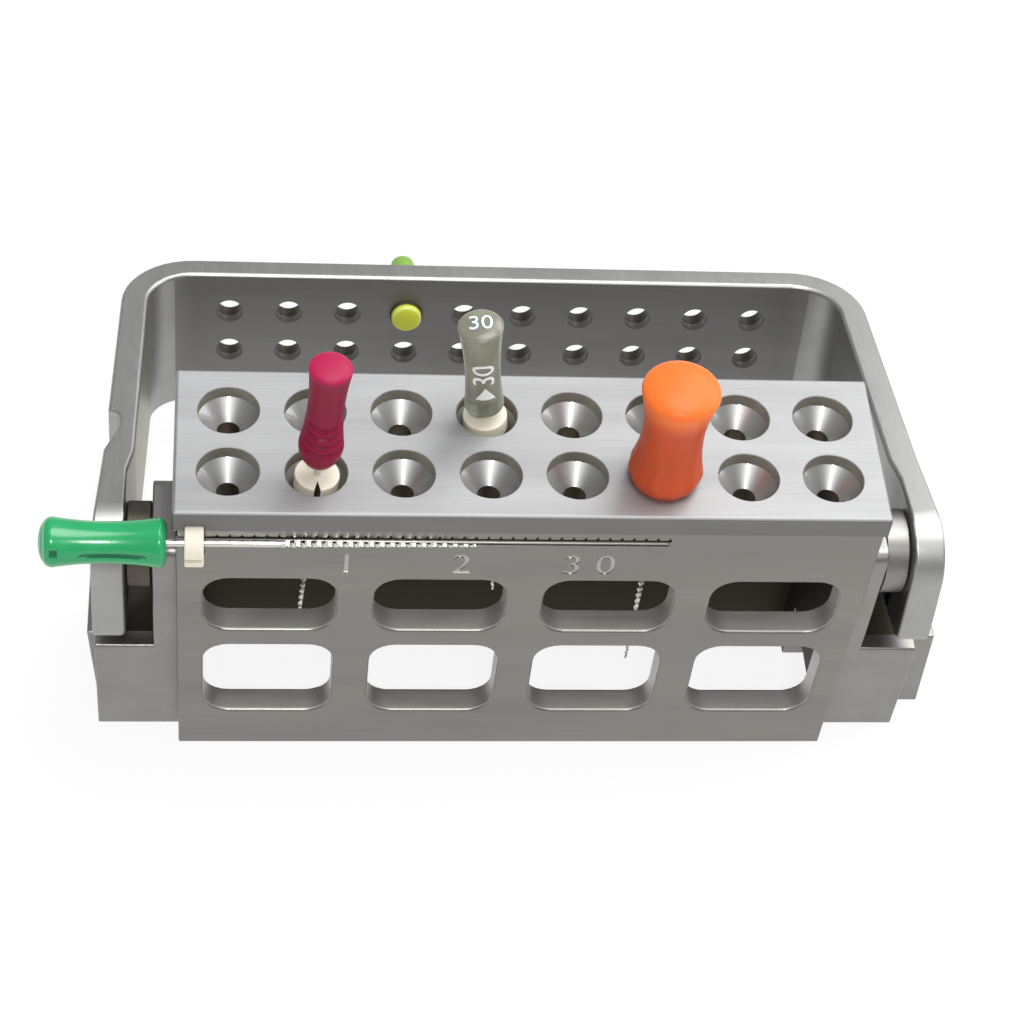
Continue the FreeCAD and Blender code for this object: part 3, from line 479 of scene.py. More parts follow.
figure_finish = satin_metal("engraved_figures", (0.42, 0.41, 0.39), rough=0.3)
for mark, figure, shift in ((10, "1", 1.55), (20, "2", 1.05), (30, "3", 0.25), (30, "0", 3.05)):
    place = upright(ruler_zero + mark + shift, figure_line)
    combine(block, set_down(lettering(figure, figure_height, figure_depth), place))
paint(block, figure_finish, lambda p, n: block_front + 0.01 < p.y < block_front + 0.09
      and 24.2 < p.z < 27.3 and ruler_zero + 8 < p.x < ruler_zero + 36)
# Painted shade: the ruler groove's faces take the same near-black finish, for the shadow in the groove round
# the file.
paint(block, painted_shade_inside_finish, lambda p, n: ruler_zero - 0.5 < p.x < ruler_zero + ruler_length + 0.01
      and block_front + 0.02 < p.y < block_front + 0.5 and abs(p.z - ruler_height) < 0.8 and n.z < 0.6)
hand_over(block, "block", ["block_body"])


# Hole plate: a thick flat lid of pale satin steel that is pressed into the block's open top.
# Sixteen holes in two rows go through it, each a short bore over a cone for a file's stop.
plate_half, plate_front, plate_back, plate_low, plate_top = 29.35, -1.45, 14.15, 30.2, 32.4
plug_half, plug_front, plug_back, plug_low = 27.08, 1.22, 11.48, 28.2
first_row, row_step = 3.05, 6.62
mouth, throat, mouth_foot, cone_foot = 2.55, 0.95, 31.2, 29.8


def turned(name, profile, steps=48):
    """A closed solid in mm that is turned about Z from (radius, height) points."""
    shape = bmesh.new()
    rings = []
    for radius, height in profile:
        if rings and (radius, height) == profile[0]:
            rings.append(rings[0])
        elif radius == 0:
            rings.append([shape.verts.new((0, 0, height))])
        else:
            rings.append([shape.verts.new((radius * math.cos(math.tau * k / steps),
                                           radius * math.sin(math.tau * k / steps), height))
                          for k in range(steps)])
    for lower, upper in zip(rings, rings[1:]):
        for k in range(steps):
            corners = (lower[k % len(lower)], lower[(k + 1) % len(lower)],
                       upper[(k + 1) % len(upper)], upper[k % len(upper)])
            if len(set(corners)) > 2:
                shape.faces.new(list(dict.fromkeys(corners)))
    return new_piece(name, shape)


def from_hole(point):
    """Distance in mm of a point from the axis of the nearest file hole."""
    column = min(max(round(point.x / hole_pitch - 0.5), -4), 3)
    row = 0 if point.y < first_row + row_step / 2 else 1
    return math.hypot(point.x - (column + 0.5) * hole_pitch, point.y - first_row - row * row_step)


plate_finish = satin_metal("plate_metal", (0.36, 0.36, 0.363), rough=0.6, grain=0.11, depth=0.25)
plate_edge_shade_finish = satin_metal("plate_edge_painted_shade_metal", (0.2, 0.198, 0.192), rough=0.5)
cone_finish = satin_metal("cone_metal", (0.34, 0.34, 0.335), along="Z", rough=0.45, grain=0.03,
                          depth=0.02, polish=1.0)
mouth_finish = satin_metal("mouth_metal", (0.5, 0.47, 0.40), rough=0.5)
throat_shade_finish = satin_metal("throat_painted_shade_metal", (0.16, 0.13, 0.095), rough=0.6)
plate = prism("plate", box_outline(-plate_half, plate_front, plate_half, plate_back), plate_low, plate_top)
soften(plate, lambda middle: 0.3 if middle.z > plate_top - 0.01 else 0.12, 4)
combine(plate, prism("plug", box_outline(-plug_half, plug_front, plug_half, plug_back), plug_low,
                     plate_low + 0.5), "UNION")
hole = turned("hole", [(0, plug_low - 1), (throat, plug_low - 1), (throat, cone_foot), (mouth, mouth_foot),
                       (mouth, plate_top - 0.06), (mouth + 0.16, plate_top + 0.1), (0, plate_top + 0.1)])
run_tree(plate, cut_rows, {"Tool": hole, "Columns": 8, "Rows": 2, "First": (-3.5 * hole_pitch, first_row, 0),
                           "Column Step": (hole_pitch, 0, 0), "Row Step": (0, row_step, 0),
                           "Finish": plate_finish})
bpy.data.objects.remove(hole)
combine(plate, prism("slot", box_outline(slot_left, slot_low, ruler_zero, slot_top),
                     block_front - 1, slot_back, "front"))
# Painted shade: the plate's sides and front strip take a darker tone than its top, standing in for their
# being less lit.
paint(plate, plate_edge_shade_finish, lambda p, n: n.z < 0.55 and from_hole(p) > 2.9)
paint(plate, cone_finish, lambda p, n: from_hole(p) < 2.5 and cone_foot < p.z < mouth_foot)
paint(plate, mouth_finish, lambda p, n: 2.4 < from_hole(p) < 2.6 and mouth_foot < p.z < plate_top - 0.1)
# Painted shade: each narrow bore below its cone is painted dark brown, for the shade down the hole.
paint(plate, throat_shade_finish, lambda p, n: from_hole(p) < 1 and p.z < cone_foot)
hand_over(plate, "block", ["hole_plate"])


# Brackets: one machined block at each end, screwed to the block. A cheek carries the cover's
# pivot, and a low foot and a wing spread the stand. The left wing is the shorter one.
cheek_in, cheek_out, cheek_front, cheek_back, cheek_top = 29.1, 31.2, 0.95, 9.35, 24.4
foot_out, foot_back, foot_top, wing_front, wing_top = 36.25, 13.55, 11.39, 3.55, 9.89
pad_front, pad_top = 10.15, 11.69
wing_reach = {"left": (0.1, 0.8), "right": (2.9, 2.45)}
pivot = (4.75, 20.8)
foot_screw = (10.2, 5.0)
cap_radius, cap_seat = 2.0, 33.6
recess_shade_finish = satin_metal("recess_painted_shade_metal", (0.07, 0.062, 0.048), rough=0.55)
bracket_finish = satin_metal("bracket_metal", (0.27, 0.263, 0.248), along="Y", rough=0.36)
facing = {side: Matrix.Rotation(math.radians(turn), 4, "Y") for side, turn in (("left", -90), ("right", 90))}


def side_box(side, name, x1, x2, y1, y2, z1, z2, radius=None):
    """A box on one side of the block, from x1 to x2 outwards."""
    sign = 1 if side == "right" else -1
    return prism(name, box_outline(y1, z1, y2, z2, radius), sign * x1, sign * x2, "side")


def bracket_edges(middle):
    """Width in mm of the rounding of a bracket's edge there."""
    if middle.y > foot_back - 0.01:
        return 0
    if middle.z < 0.01 or abs(middle.x) < cheek_in + 0.01:
        return 0.08
    if math.hypot(middle.y - foot_screw[0], middle.z - foot_screw[1]) < 2.1:
        return 0.1 if abs(middle.x) > foot_out else 0
    if math.hypot(middle.y - pivot[0], middle.z - pivot[1]) < 1.6:
        return 0
    if abs(middle.z - foot_top) < 0.01 and middle.y < cheek_front + 0.1:
        return 0.6
    return 0.18


for side, sign in (("left", -1), ("right", 1)):
    profile = rounded([(cheek_front, 0), (cheek_back, 0), (cheek_back, cheek_top, 1.2),
                       (cheek_front, cheek_top, 1.2)])
    bracket = prism(side + "_bracket", profile, sign * cheek_in, sign * cheek_out, "side")
    combine(bracket, side_box(side, "foot", cheek_in, foot_out, cheek_front, foot_back, 0, foot_top), "UNION")
    combine(bracket, side_box(side, "pad", cheek_out, foot_out, pad_front, foot_back, 0, pad_top), "UNION")
    low, high = wing_reach[side]
    slope = [(cheek_out * sign, 0), ((foot_out + low) * sign, 0), ((foot_out + high) * sign, wing_top),
             (cheek_out * sign, wing_top)]
    combine(bracket, prism("wing", slope, wing_front, foot_back, "front"), "UNION")
    eye = turned("eye", [(0, 20), (1.5, 20), (1.5, 40), (0, 40)], 24)
    combine(bracket, set_down(eye, Matrix.Translation((0, *pivot)) @ facing[side]))
    sink = turned("sink", [(0, 20), (1.0, 20), (1.0, cap_seat), (cap_radius, cap_seat), (cap_radius, 42),
                           (0, 42)], 32)
    combine(bracket, set_down(sink, Matrix.Translation((0, *foot_screw)) @ facing[side]))
    score(bracket, "Y", [2.6, foot_screw[0], pivot[0]])
    score(bracket, "Z", [foot_screw[1], pivot[1], foot_top, wing_top])
    soften(bracket, bracket_edges)
    bracket.data.materials.append(bracket_finish)
    # Painted shade: the sink round each foot screw's head is painted near-black, for the shade in it.
    paint(bracket, recess_shade_finish, lambda p, n: abs(p.x) > cap_seat - 0.1
          and math.hypot(p.y - foot_screw[0], p.z - foot_screw[1]) < cap_radius + 0.02)
    # Painted shade: the cheek's outer face above the foot, and the foot's top behind its front, are painted
    # near-black for the shade between the arm and the cheek.
    paint(bracket, recess_shade_finish, lambda p, n:
          (abs(n.x) > 0.9 and abs(abs(p.x) - cheek_out) < 0.02 and p.z > foot_top)
          or (n.z > 0.9 and abs(p.z - foot_top) < 0.02 and p.y > 2.6))
    hand_over(bracket, "block", [side + "_bracket"])


# Pivots: a turned steel bush keeps each arm clear of its cheek, and a slotted screw through
# both is the pin that the arm swings on.
def turned_metal(name, tone, rough=0.24):
    """Turned metal: fine rings about the pivots' line, and soft gloss."""
    material, node, join = new_material(name)
    place = node("TexCoord")
    centre = node("Mapping")
    centre.inputs["Location"].default_value = (0, -pivot[0] * mm, -pivot[1] * mm)
    rings = node("TexWave", wave_type="RINGS", rings_direction="X", Scale=2600.0, Distortion=0.6, Detail=2.0)
    tones = node("ValToRGB")
    tones.color_ramp.elements[0].color = [*(c * 0.9 for c in tone), 1]
    tones.color_ramp.elements[1].color = [*(c * 1.1 for c in tone), 1]
    relief = node("Bump", Strength=0.12, Distance=0.00002)
    shader = node("BsdfPrincipled", Metallic=1.0, Roughness=rough)
    out = node("OutputMaterial")
    join(place.outputs["Object"], centre.inputs["Vector"])
    join(centre.outputs["Vector"], rings.inputs["Vector"])
    join(rings.outputs["Fac"], tones.inputs["Fac"])
    join(tones.outputs["Color"], shader.inputs["Base Color"])
    join(rings.outputs["Fac"], relief.inputs["Height"])
    join(relief.outputs["Normal"], shader.inputs["Normal"])
    join(shader.outputs[0], out.inputs["Surface"])
    return material


# The left bush's dark tone is painted shade: it is the same steel as the right bush, darkened for the shade
# between the arm and the cheek.
bush_finish = {"left": turned_metal("left_bush_painted_shade_metal", (0.11, 0.098, 0.078), 0.45),
               "right": turned_metal("right_bush_metal", (0.27, 0.263, 0.25), 0.4)}
screw_finish = turned_metal("screw_metal", (0.45, 0.445, 0.43))
bush_ring = [(1.52, cheek_out), (3.5, cheek_out), (3.65, 31.35), (3.65, 33.2), (3.5, 33.35), (1.52, 33.35),
             (1.52, cheek_out)]
screw_pin = [(0, 27.6), (1.3, 27.6), (1.5, 27.8), (1.5, 35.35), (2.65, 35.35), (2.8, 35.5), (2.8, 35.95),
             (2.62, 36.12), (1.6, 36.2), (0, 36.2)]
for side, sign in (("left", -1), ("right", 1)):
    stand = Matrix.Translation((0, *pivot)) @ facing[side]
    bush = set_down(turned(side + "_pivot_bush", bush_ring), stand)
    bush.data.materials.append(bush_finish[side])
    hand_over(bush, "block", [side + "_pivot_bush"])
    screw = turned(side + "_pivot_screw", screw_pin)
    combine(screw, prism("slot", box_outline(-0.4, -4, 0.4, 4), 35.7, 37))
    set_down(screw, stand)
    screw.data.materials.append(screw_finish)
    hand_over(screw, "block", [side + "_pivot_screw"])


# Foot screws: a small steel cap screw with a hexagon socket, sunk into each bracket's foot,
# that holds the bracket to the block.
socket_radius = 0.866
cap_screw = [(0, 27.6), (0.85, 27.6), (1.0, 27.75), (1.0, cap_seat), (1.9, cap_seat), (1.9, 35.42),
             (1.72, 35.6), (0, 35.6)]
hexagon = [(socket_radius * math.cos(math.tau * k / 6), socket_radius * math.sin(math.tau * k / 6))
           for k in range(6)]
for side in facing:
    screw = turned(side + "_foot_screw", cap_screw)
    combine(screw, prism("socket", hexagon, 34.5, 36))
    set_down(screw, Matrix.Translation((0, *foot_screw)) @ facing[side])
    screw.data.materials.append(satin_metal(side + "_screw_metal", (0.36, 0.355, 0.34), rough=0.28))
    hand_over(screw, "block", [side + "_foot_screw"])


# Swing cover: one bracket-shaped frame milled from the same aluminium. Its two arms turn on
# the pivots, and its deep perforated panel closes over the files when it is swung down.
cover_tilt = math.radians(-9.5)
cover_stand = Matrix.Translation((0, *pivot)) @ Matrix.Rotation(cover_tilt, 4, "X")
rim_top, arm_foot, panel_foot, nose = 4.6, -7.1, -10.2, 4.6
panel_front, panel_back, arm_slope = 32.55, 34.9, 7.0
peg_rows, peg_pitch, peg_hole = (0.4, -4.1), 5.55, 1.25
cover_finish = satin_metal("cover_metal", (0.37, 0.368, 0.36), along="Y", rough=0.42)
panel_shade_finish = satin_metal("panel_painted_shade_metal", (0.27, 0.268, 0.26), rough=0.55)
tan_reflection_finish = satin_metal("arm_inside_painted_reflection_metal", (0.30, 0.27, 0.21), along="Y", rough=0.4)

outside = [(-36.2, -nose), (-35.5, arm_slope), (-34.65, panel_back, 6.55), (34.65, panel_back, 6.55),
           (35.5, arm_slope), (36.2, -nose)]
inside = [(33.4, -nose - 1), (33.4, 4.2), (32.85, arm_slope), (32.3, panel_front, 4.2),
          (-32.3, panel_front, 4.2), (-32.85, arm_slope), (-33.4, 4.2), (-33.4, -nose - 1)]
cover = prism("cover", rounded(outside, 10), panel_foot, rim_top)
combine(cover, prism("opening", rounded(inside, 10), panel_foot - 1, rim_top + 1))
arm_side = rounded([(-nose, arm_foot, 1.4), (arm_slope, arm_foot), (panel_front, panel_foot),
                    (panel_back + 1, panel_foot), (panel_back + 1, rim_top),
                    (-nose, rim_top, nose - 0.001)], 12)
combine(cover, prism("side_view", arm_side, -40, 40, "side"), "INTERSECT")
bite = []
for share in [k / 8 for k in range(9)]:
    bulge = math.sin(math.pi * share)
    bite.append((-34.34 + 0.37 * bulge - 1.02 * share, 10.2 + 0.5 * bulge + 2.2 * share))
nick = [(-37, arm_slope), (-35.5, arm_slope), *bite, (-37, 12.4)]
combine(cover, prism("nick", nick, panel_foot - 1, rim_top + 1))


def cover_edges(middle):
    """Width in mm of the rounding of the cover's edge there."""
    if math.hypot(middle.y, middle.z) < 3.1 and middle.y > -3.1:
        return 0.1 if abs(middle.x) > 35.6 else 0
    if middle.z > rim_top - 0.05:
        inner = abs(middle.x) < 33.0 and middle.y < panel_front + 0.1
        return 0.4 if inner else 0.3
    if middle.y < -nose + 1.5 and abs(middle.x) < 33.6:
        return 0.5
    return 0.2


for side in facing:
    bore = turned("bore", [(0, 30), (1.55, 30), (1.55, 35.3), (3.05, 35.3), (3.05, 40), (0, 40)], 32)
    combine(cover, set_down(bore, facing[side]))
score(cover, "Y", [0.0, arm_slope])
score(cover, "Z", [0.0])
soften(cover, cover_edges)
peg_tool = turned("peg_tool", [(0, 31), (peg_hole, 31), (peg_hole, panel_front + 1.0), (peg_hole, 37),
                               (0, 37)], 32)
set_down(peg_tool, Matrix.Rotation(math.radians(-90), 4, "X"))
run_tree(cover, cut_rows, {"Tool": peg_tool, "Columns": 10, "Rows": 2,
                           "First": (-4.5 * peg_pitch, 0, peg_rows[0]),
                           "Column Step": (peg_pitch, 0, 0),
                           "Row Step": (0, 0, peg_rows[1] - peg_rows[0]), "Finish": cover_finish})
bpy.data.objects.remove(peg_tool)


def peg_gap(p):
    """Distance in mm from the axis of the nearest peg hole."""
    column = min(max(round(p.x / peg_pitch - 0.5), -5), 4)
    return math.hypot(p.x - (column + 0.5) * peg_pitch, min((p.z - row for row in peg_rows), key=abs))


peg_hole_shade_finish = satin_metal("peg_hole_painted_shade_metal", (0.08, 0.07, 0.055), rough=0.5)
peg_hole_lit_mouth_finish = satin_metal("peg_hole_mouth_painted_light_metal", (0.22, 0.215, 0.205), rough=0.5)
# Painted shade: the panel's inner face, which looks forwards and down, takes a darker tone than the rest of
# the cover.
paint(cover, panel_shade_finish, lambda p, n: n.y < -0.6 and p.y > panel_front - 0.6 and p.z < rim_top - 0.45)
# Painted reflection: the left arm's inner face is tinted tan, for the brown table mirrored in it.
paint(cover, tan_reflection_finish, lambda p, n: p.x < -30 and n.x > 0.9 and 4.0 < p.y < 25.0)
# Painted shade: the peg holes' walls are painted near-black, for the shade inside them.
paint(cover, peg_hole_shade_finish, lambda p, n:
      peg_gap(p) < peg_hole + 0.36 and panel_front < p.y < panel_back and abs(n.y) < 0.9)
# Painted light: the wall nearest each hole's front mouth takes a paler grey, for the light that reaches it.
paint(cover, peg_hole_lit_mouth_finish, lambda p, n:
      peg_gap(p) < peg_hole + 0.36 and panel_front < p.y < panel_front + 0.8 and abs(n.y) < 0.9)
set_down(cover, cover_stand)
hand_over(cover, "cover", ["swing_cover"])


# Marker peg: a yellow-green moulded peg in the panel's fourth hole. A step runs round
# its bevelled head, painted near-black as a painted shadow, and the stem's rounded end stands out behind the
# panel.
def moulded(name, colour, rough=0.38, soft=0.0, speck=0.06, seam=0.02, clear=0.0, gleam=0.3, crown=None):
    """Moulded plastic: slight cloudiness, a fine orange-peel surface, and a soft gloss. A crown
    (two heights in mm, and a colour) paints a paler end: painted light, for the light on the top."""
    material, node, join = new_material(name)
    place = node("TexCoord")
    clouds = node("TexNoise", Scale=420.0, Detail=3.0, Roughness=0.5)
    peel = node("TexNoise", Scale=2600.0, Detail=2.0, Roughness=0.5)
    tones = node("ValToRGB")
    tones.color_ramp.elements[0].position = 0.3
    tones.color_ramp.elements[1].position = 0.7
    tones.color_ramp.elements[0].color = [*(c * (1 - speck) for c in colour), 1]
    tones.color_ramp.elements[1].color = [*(min(1, c * (1 + speck)) for c in colour), 1]
    gloss = node("MapRange", To_Min=rough * 0.88, To_Max=rough * 1.15)
    relief = node("Bump", Strength=0.25, Distance=seam * mm)
    shader = node("BsdfPrincipled", IOR=1.49)
    shader.inputs["Specular IOR Level"].default_value = gleam
    shader.inputs["Transmission Weight"].default_value = clear
    shader.inputs["Subsurface Weight"].default_value = soft
    shader.inputs["Subsurface Radius"].default_value = (0.0012, 0.0008, 0.0006)
    shader.inputs["Subsurface Scale"].default_value = 1.0
    out = node("OutputMaterial")
    join(place.outputs["Object"], clouds.inputs["Vector"])
    join(place.outputs["Object"], peel.inputs["Vector"])
    join(clouds.outputs["Fac"], tones.inputs["Fac"])
    if crown:
        height = node("SeparateXYZ")
        share = node("MapRange", interpolation_type="SMOOTHSTEP")
        share.inputs["From Min"].default_value = crown[0] * mm
        share.inputs["From Max"].default_value = crown[1] * mm
        paler = node("MixRGB", blend_type="MIX", Color2=(*crown[2], 1))
        join(place.outputs["Object"], height.inputs[0])
        join(height.outputs["Z"], share.inputs["Value"])
        join(share.outputs["Result"], paler.inputs["Fac"])
        join(tones.outputs["Color"], paler.inputs[1])
        join(paler.outputs[0], shader.inputs["Base Color"])
    else:
        join(tones.outputs["Color"], shader.inputs["Base Color"])
    join(peel.outputs["Fac"], gloss.inputs["Value"])
    join(gloss.outputs["Result"], shader.inputs["Roughness"])
    join(peel.outputs["Fac"], relief.inputs["Height"])
    join(relief.outputs["Normal"], shader.inputs["Normal"])
    join(shader.outputs[0], out.inputs["Surface"])
    return material


peg_head, peg_stem, peg_length = 1.55, 1.18, 8.6
peg_profile = [(0, -1.0), (0.7, -0.98), (1.2, -0.9), (1.34, -0.8), (1.42, -0.64), (1.43, -0.34),
               (1.48, -0.3), (peg_head, -0.24), (peg_head, -0.05),
               (peg_stem, -0.05), (peg_stem, peg_length - 0.95), (1.1, peg_length - 0.55),
               (0.86, peg_length - 0.22), (0.48, peg_length - 0.05), (0, peg_length)]
peg = turned("peg", peg_profile)
peg.data.materials.append(moulded("peg_plastic", (0.52, 0.56, 0.05), soft=0.1))
# Painted highlight: the head's bevel is painted a paler yellow, for the light that its edge catches.
paint(peg, moulded("peg_bevel_painted_highlight_plastic", (0.58, 0.62, 0.16), rough=0.3, soft=0.1),
      lambda p, n: -0.88 < p.z < -0.64 and math.hypot(p.x, p.y) < 1.43)
# Painted shadow: the step round the head is painted near-black, for the shadow round the head in the panel's
# hole.
paint(peg, moulded("peg_shoulder_painted_shadow_plastic", (0.035, 0.035, 0.012), rough=0.5),
      lambda p, n: -0.34 < p.z < 0 and math.hypot(p.x, p.y) > 1.4)
# Painted shade: the stem behind the panel is the same plastic, painted a darker green for the shade it stands
# in.
paint(peg, moulded("peg_stem_painted_shade_plastic", (0.19, 0.34, 0.06), soft=0.1), lambda p, n: p.z > 0)
peg_place = Matrix.Translation((-1.5 * peg_pitch, panel_front, peg_rows[0]))
set_down(peg, cover_stand @ peg_place @ Matrix.Rotation(math.radians(-90), 4, "X"))
hand_over(peg, "marker", ["marker_peg"])


# Files, handles: waisted plastic handles moulded round the shafts, in the colours of the
# instrument sizes. Crimson, clear and orange stand in the plate, and green lies on the ruler.
lean = {"crimson": 3.0, "clear": -6.5, "orange": 0.0, "green": -90.0}
back_row = first_row + row_step
seat = {"crimson": (-2.5 * hole_pitch, first_row, 30.734), "clear": (-0.5 * hole_pitch, back_row, 30.847),
        "orange": (1.5 * hole_pitch, first_row, 30.6375), "green": (ruler_zero - 0.05, -1.55, ruler_height)}
shape_of = {  # gap under the handle, length, base, foot, foot's rise, waist and top radius, dome
    "crimson": (3.3, 11.2, 1.2, 1.825, 2.2, 1.475, 1.75, 0.5),
    "clear": (2.6, 9.9, 1.35, 1.65, 0.5, 1.55, 1.875, 0.5),
    "orange": (1.62, 11.58, 2.6, 3.1, 1.6, 2.55, 3.2, 1.2),
    "green": (3.0, 10.2, 1.5, 2.05, 0.6, 1.7, 2.05, 1.2)}


def stand_of(name):
    """The place of a file that was made upright at the origin."""
    return Matrix.Translation(seat[name]) @ Matrix.Rotation(math.radians(lean[name]), 4, "Y")


def handle_radius(name, height):
    """Radius in mm at a height over the handle's base: foot, waist, end and dome."""
    gap, length, base, foot, rise, waist, top, dome = shape_of[name]
    if height < rise:
        share = height / rise
        return base + (foot - base) * share + 4 * (foot - base) / 3 * share * (1 - share)
    if height < length - dome:
        share = (height - rise) / (length - dome - rise)
        return foot + (top - foot) * share - 4 * ((top + foot) / 2 - waist) * share * (1 - share)
    share = min(1, (height - length + dome) / dome)
    return top * math.sqrt(max(0, 1 - share ** 2.4))


def relief_of(name, height, angle):
    """Depth in mm that a handle's ribs, flutes or groove take off its radius there."""
    front = math.cos(angle + math.pi / 2)
    if name == "crimson":
        bent = height - 0.6 * (1 - max(0, front))
        ribs = sum(math.exp(-((bent - at) / 0.17) ** 2) for at in (2.2, 3.1, 4.0, 4.9))
        return 0.34 * ribs * max(0, front) ** 0.5
    if name == "orange":
        fade = math.exp(-((height - 2.6) / 2.4) ** 4)
        return 0.09 * fade * (0.5 + 0.5 * math.cos(11 * angle))
    if name == "clear":
        return 0.05 * math.exp(-((height - 5) / 3.5) ** 4) * (0.5 + 0.5 * math.cos(6 * angle))
    from_groove = angle - math.radians(279)
    from_dimple = angle - math.radians(290)
    groove = math.exp(-(math.atan2(math.sin(from_groove), math.cos(from_groove)) / 0.16) ** 2)
    dimple = math.exp(-((height - 8.9) / 0.35) ** 2) * math.exp(-(math.sin(from_dimple / 2) / 0.09) ** 2)
    ring = math.exp(-((height - 9.75) / 0.09) ** 2)
    return 0.22 * groove * math.exp(-((height - 4.2) / 2.9) ** 4) + 0.3 * dimple + 0.06 * ring


def make_handle(name, around=72, along=84):
    """A handle on its own axis in mm, closed at both ends."""
    gap, length = shape_of[name][:2]
    heights = [length * 0.5 * (1 - math.cos(math.pi * k / along)) for k in range(along)]
    shape = bmesh.new()
    rings = []
    for height in heights:
        ring = []
        for k in range(around):
            angle = math.tau * k / around
            radius = handle_radius(name, height) - relief_of(name, height, angle)
            ring.append(shape.verts.new((radius * math.cos(angle), radius * math.sin(angle), gap + height)))
        rings.append(ring)
    for lower, upper in zip(rings, rings[1:]):
        for k in range(around):
            shape.faces.new((lower[k - 1], lower[k], upper[k], upper[k - 1]))
    shape.faces.new(rings[0])
    crown = shape.verts.new((0, 0, gap + length))
    for k in range(around):
        shape.faces.new((rings[-1][k - 1], rings[-1][k], crown))
    return new_piece(name + "_handle", shape)


# The crowns of the crimson and orange handles are painted light: their upper ends are paler, for the light
# that falls on the top.
handle_finish = {
    "crimson": moulded("crimson_plastic", (0.20, 0.004, 0.03), rough=0.42, soft=0.06, gleam=0.2,
                       crown=(44.2, 45.0, (0.35, 0.010, 0.06))),
    "clear": moulded("clear_plastic", (0.43, 0.42, 0.33), rough=0.22, speck=0.2, clear=0.65, gleam=0.5),
    "orange": moulded("orange_plastic", (0.47, 0.062, 0.014), rough=0.36, soft=0.06, gleam=0.2,
                      crown=(39.8, 42.6, (0.76, 0.15, 0.026))),
    "green": moulded("green_plastic", (0.015, 0.29, 0.10), rough=0.2, soft=0.06, gleam=0.5)}
print_turn = -86
white_print = moulded("white_print", (0.8, 0.82, 0.8), rough=0.5)
blue_print = moulded("pale_blue_print", (0.55, 0.68, 0.76), rough=0.5)
foot_finish = moulded("clear_foot_plastic", (0.27, 0.29, 0.22), rough=0.25, speck=0.2, clear=0.55, gleam=0.5)


def gather(piece, extra, finish):
    """Adds another mesh to a piece as a part of it that has its own finish."""
    piece.data.materials.append(finish)
    for face in extra.data.polygons:
        face.material_index = len(piece.data.materials) - 1
    shape = bmesh.new()
    shape.from_mesh(piece.data)
    shape.from_mesh(extra.data)
    shape.to_mesh(piece.data)
    shape.free()
    bpy.data.objects.remove(extra)


def wrap_on(name, marks, height, turn):
    """Bends flat marks round a handle: their X runs round it and their Y up it."""
    gap = shape_of[name][0]
    for vertex in marks.data.vertices:
        radius = handle_radius(name, vertex.co.y + height) - 0.03 + 0.045 * (vertex.co.z > 0)
        angle = math.radians(turn) + vertex.co.x / radius
        vertex.co = (radius * math.cos(angle), radius * math.sin(angle), gap + vertex.co.y + height)
    return marks


for name in shape_of:
    handle = make_handle(name)
    handle.data.materials.append(handle_finish[name])
    if name == "clear":
        paint(handle, foot_finish, lambda p, n: p.z < shape_of[name][0] + 1.9)
        quarter = Matrix.Rotation(math.radians(90), 4, "Z")
        size_mark = set_down(lettering("30", 1.9, 0.05), quarter)
        gather(handle, wrap_on(name, size_mark, 5.2, print_turn), white_print)
        triangle = prism("triangle", [(-0.85, -0.6), (0.85, -0.6), (0, 0.75)], -0.05, 0.05)
        score(triangle, "X", [step * 0.17 for step in range(-4, 5)])
        gather(handle, wrap_on(name, triangle, 2.95, print_turn), white_print)
        top_mark = lettering("30", 1.5, 0.04)
        for vertex in top_mark.data.vertices:
            inward = 1 - (vertex.co.xy.length / shape_of[name][6]) ** 2
            vertex.co.z += sum(shape_of[name][:2]) - shape_of[name][7] * (1 - inward ** (1 / 2.4))
        gather(handle, top_mark, blue_print)
    if name == "green":
        # Painted shade: the groove and the dimple are painted a darker green, for the shade in them.
        paint(handle, moulded("green_groove_painted_shade_plastic", (0.006, 0.13, 0.05), rough=0.4), lambda p, n: relief_of(
            name, p.z - shape_of[name][0], math.atan2(p.y, p.x) % math.tau) > 0.1)
        paint(handle, moulded("green_end_plastic", (0.16, 0.42, 0.24), rough=0.4), lambda p, n:
              abs(p.z - shape_of[name][0] - 9.72) < 0.09 or abs(p.z - shape_of[name][0] - 9.98) < 0.06)
    set_down(handle, stand_of(name))
    hand_over(handle, name + "_file", [name + "_file_handle"], 50)


# Files, stops: soft silicone discs that slide on the shafts and set the working length. A
# notch in the rim shows which way a bent file points.
stop_thick, stop_notch = 1.55, (1.0, 1.1)
stop_finish = moulded("stop_rubber", (0.7, 0.65, 0.54), rough=0.6, soft=0.25, speck=0.05)
notch_shade_finish = moulded("notch_painted_shade_rubber", (0.10, 0.08, 0.055), rough=0.7)
for name in shape_of:
    radius = 1.95 if name == "green" else 1.85
    rim = [(0.3, 0), (radius - 0.14, 0), (radius - 0.04, 0.04), (radius, 0.14), (radius, stop_thick - 0.14),
           (radius - 0.04, stop_thick - 0.04), (radius - 0.14, stop_thick), (0.3, stop_thick), (0.3, 0)]
    stop = turned(name + "_stop", rim)
    deep, wide = stop_notch
    notch = prism("notch", [(0, deep - radius), (-wide / 2, -radius - wide), (wide / 2, -radius - wide)],
                  -1, stop_thick + 1)
    combine(stop, set_down(notch, Matrix.Rotation(math.radians(150 if name == "clear" else 0), 4, "Z")))
    stop.data.materials.append(stop_finish)
    # Painted shade: the notch's sides on the crimson and orange stops are painted dark, for the shade in the
    # notch.
    if name in ("crimson", "orange"):
        paint(stop, notch_shade_finish, lambda p, n: abs(p.x) < wide / 2 and p.y < 0 and abs(n.x) > 0.75)
    set_down(stop, stand_of(name))
    hand_over(stop, name + "_file", [name + "_file_stop"], 50)


# Files, shafts: fine steel wires, plain near the handle, then ground square and twisted into
# cutting flutes that taper to the tip.
flute_length, file_length, shaft_radius, tip_radius, shaft_embed = 16.0, 25.0, 0.3, 0.13, 5.0


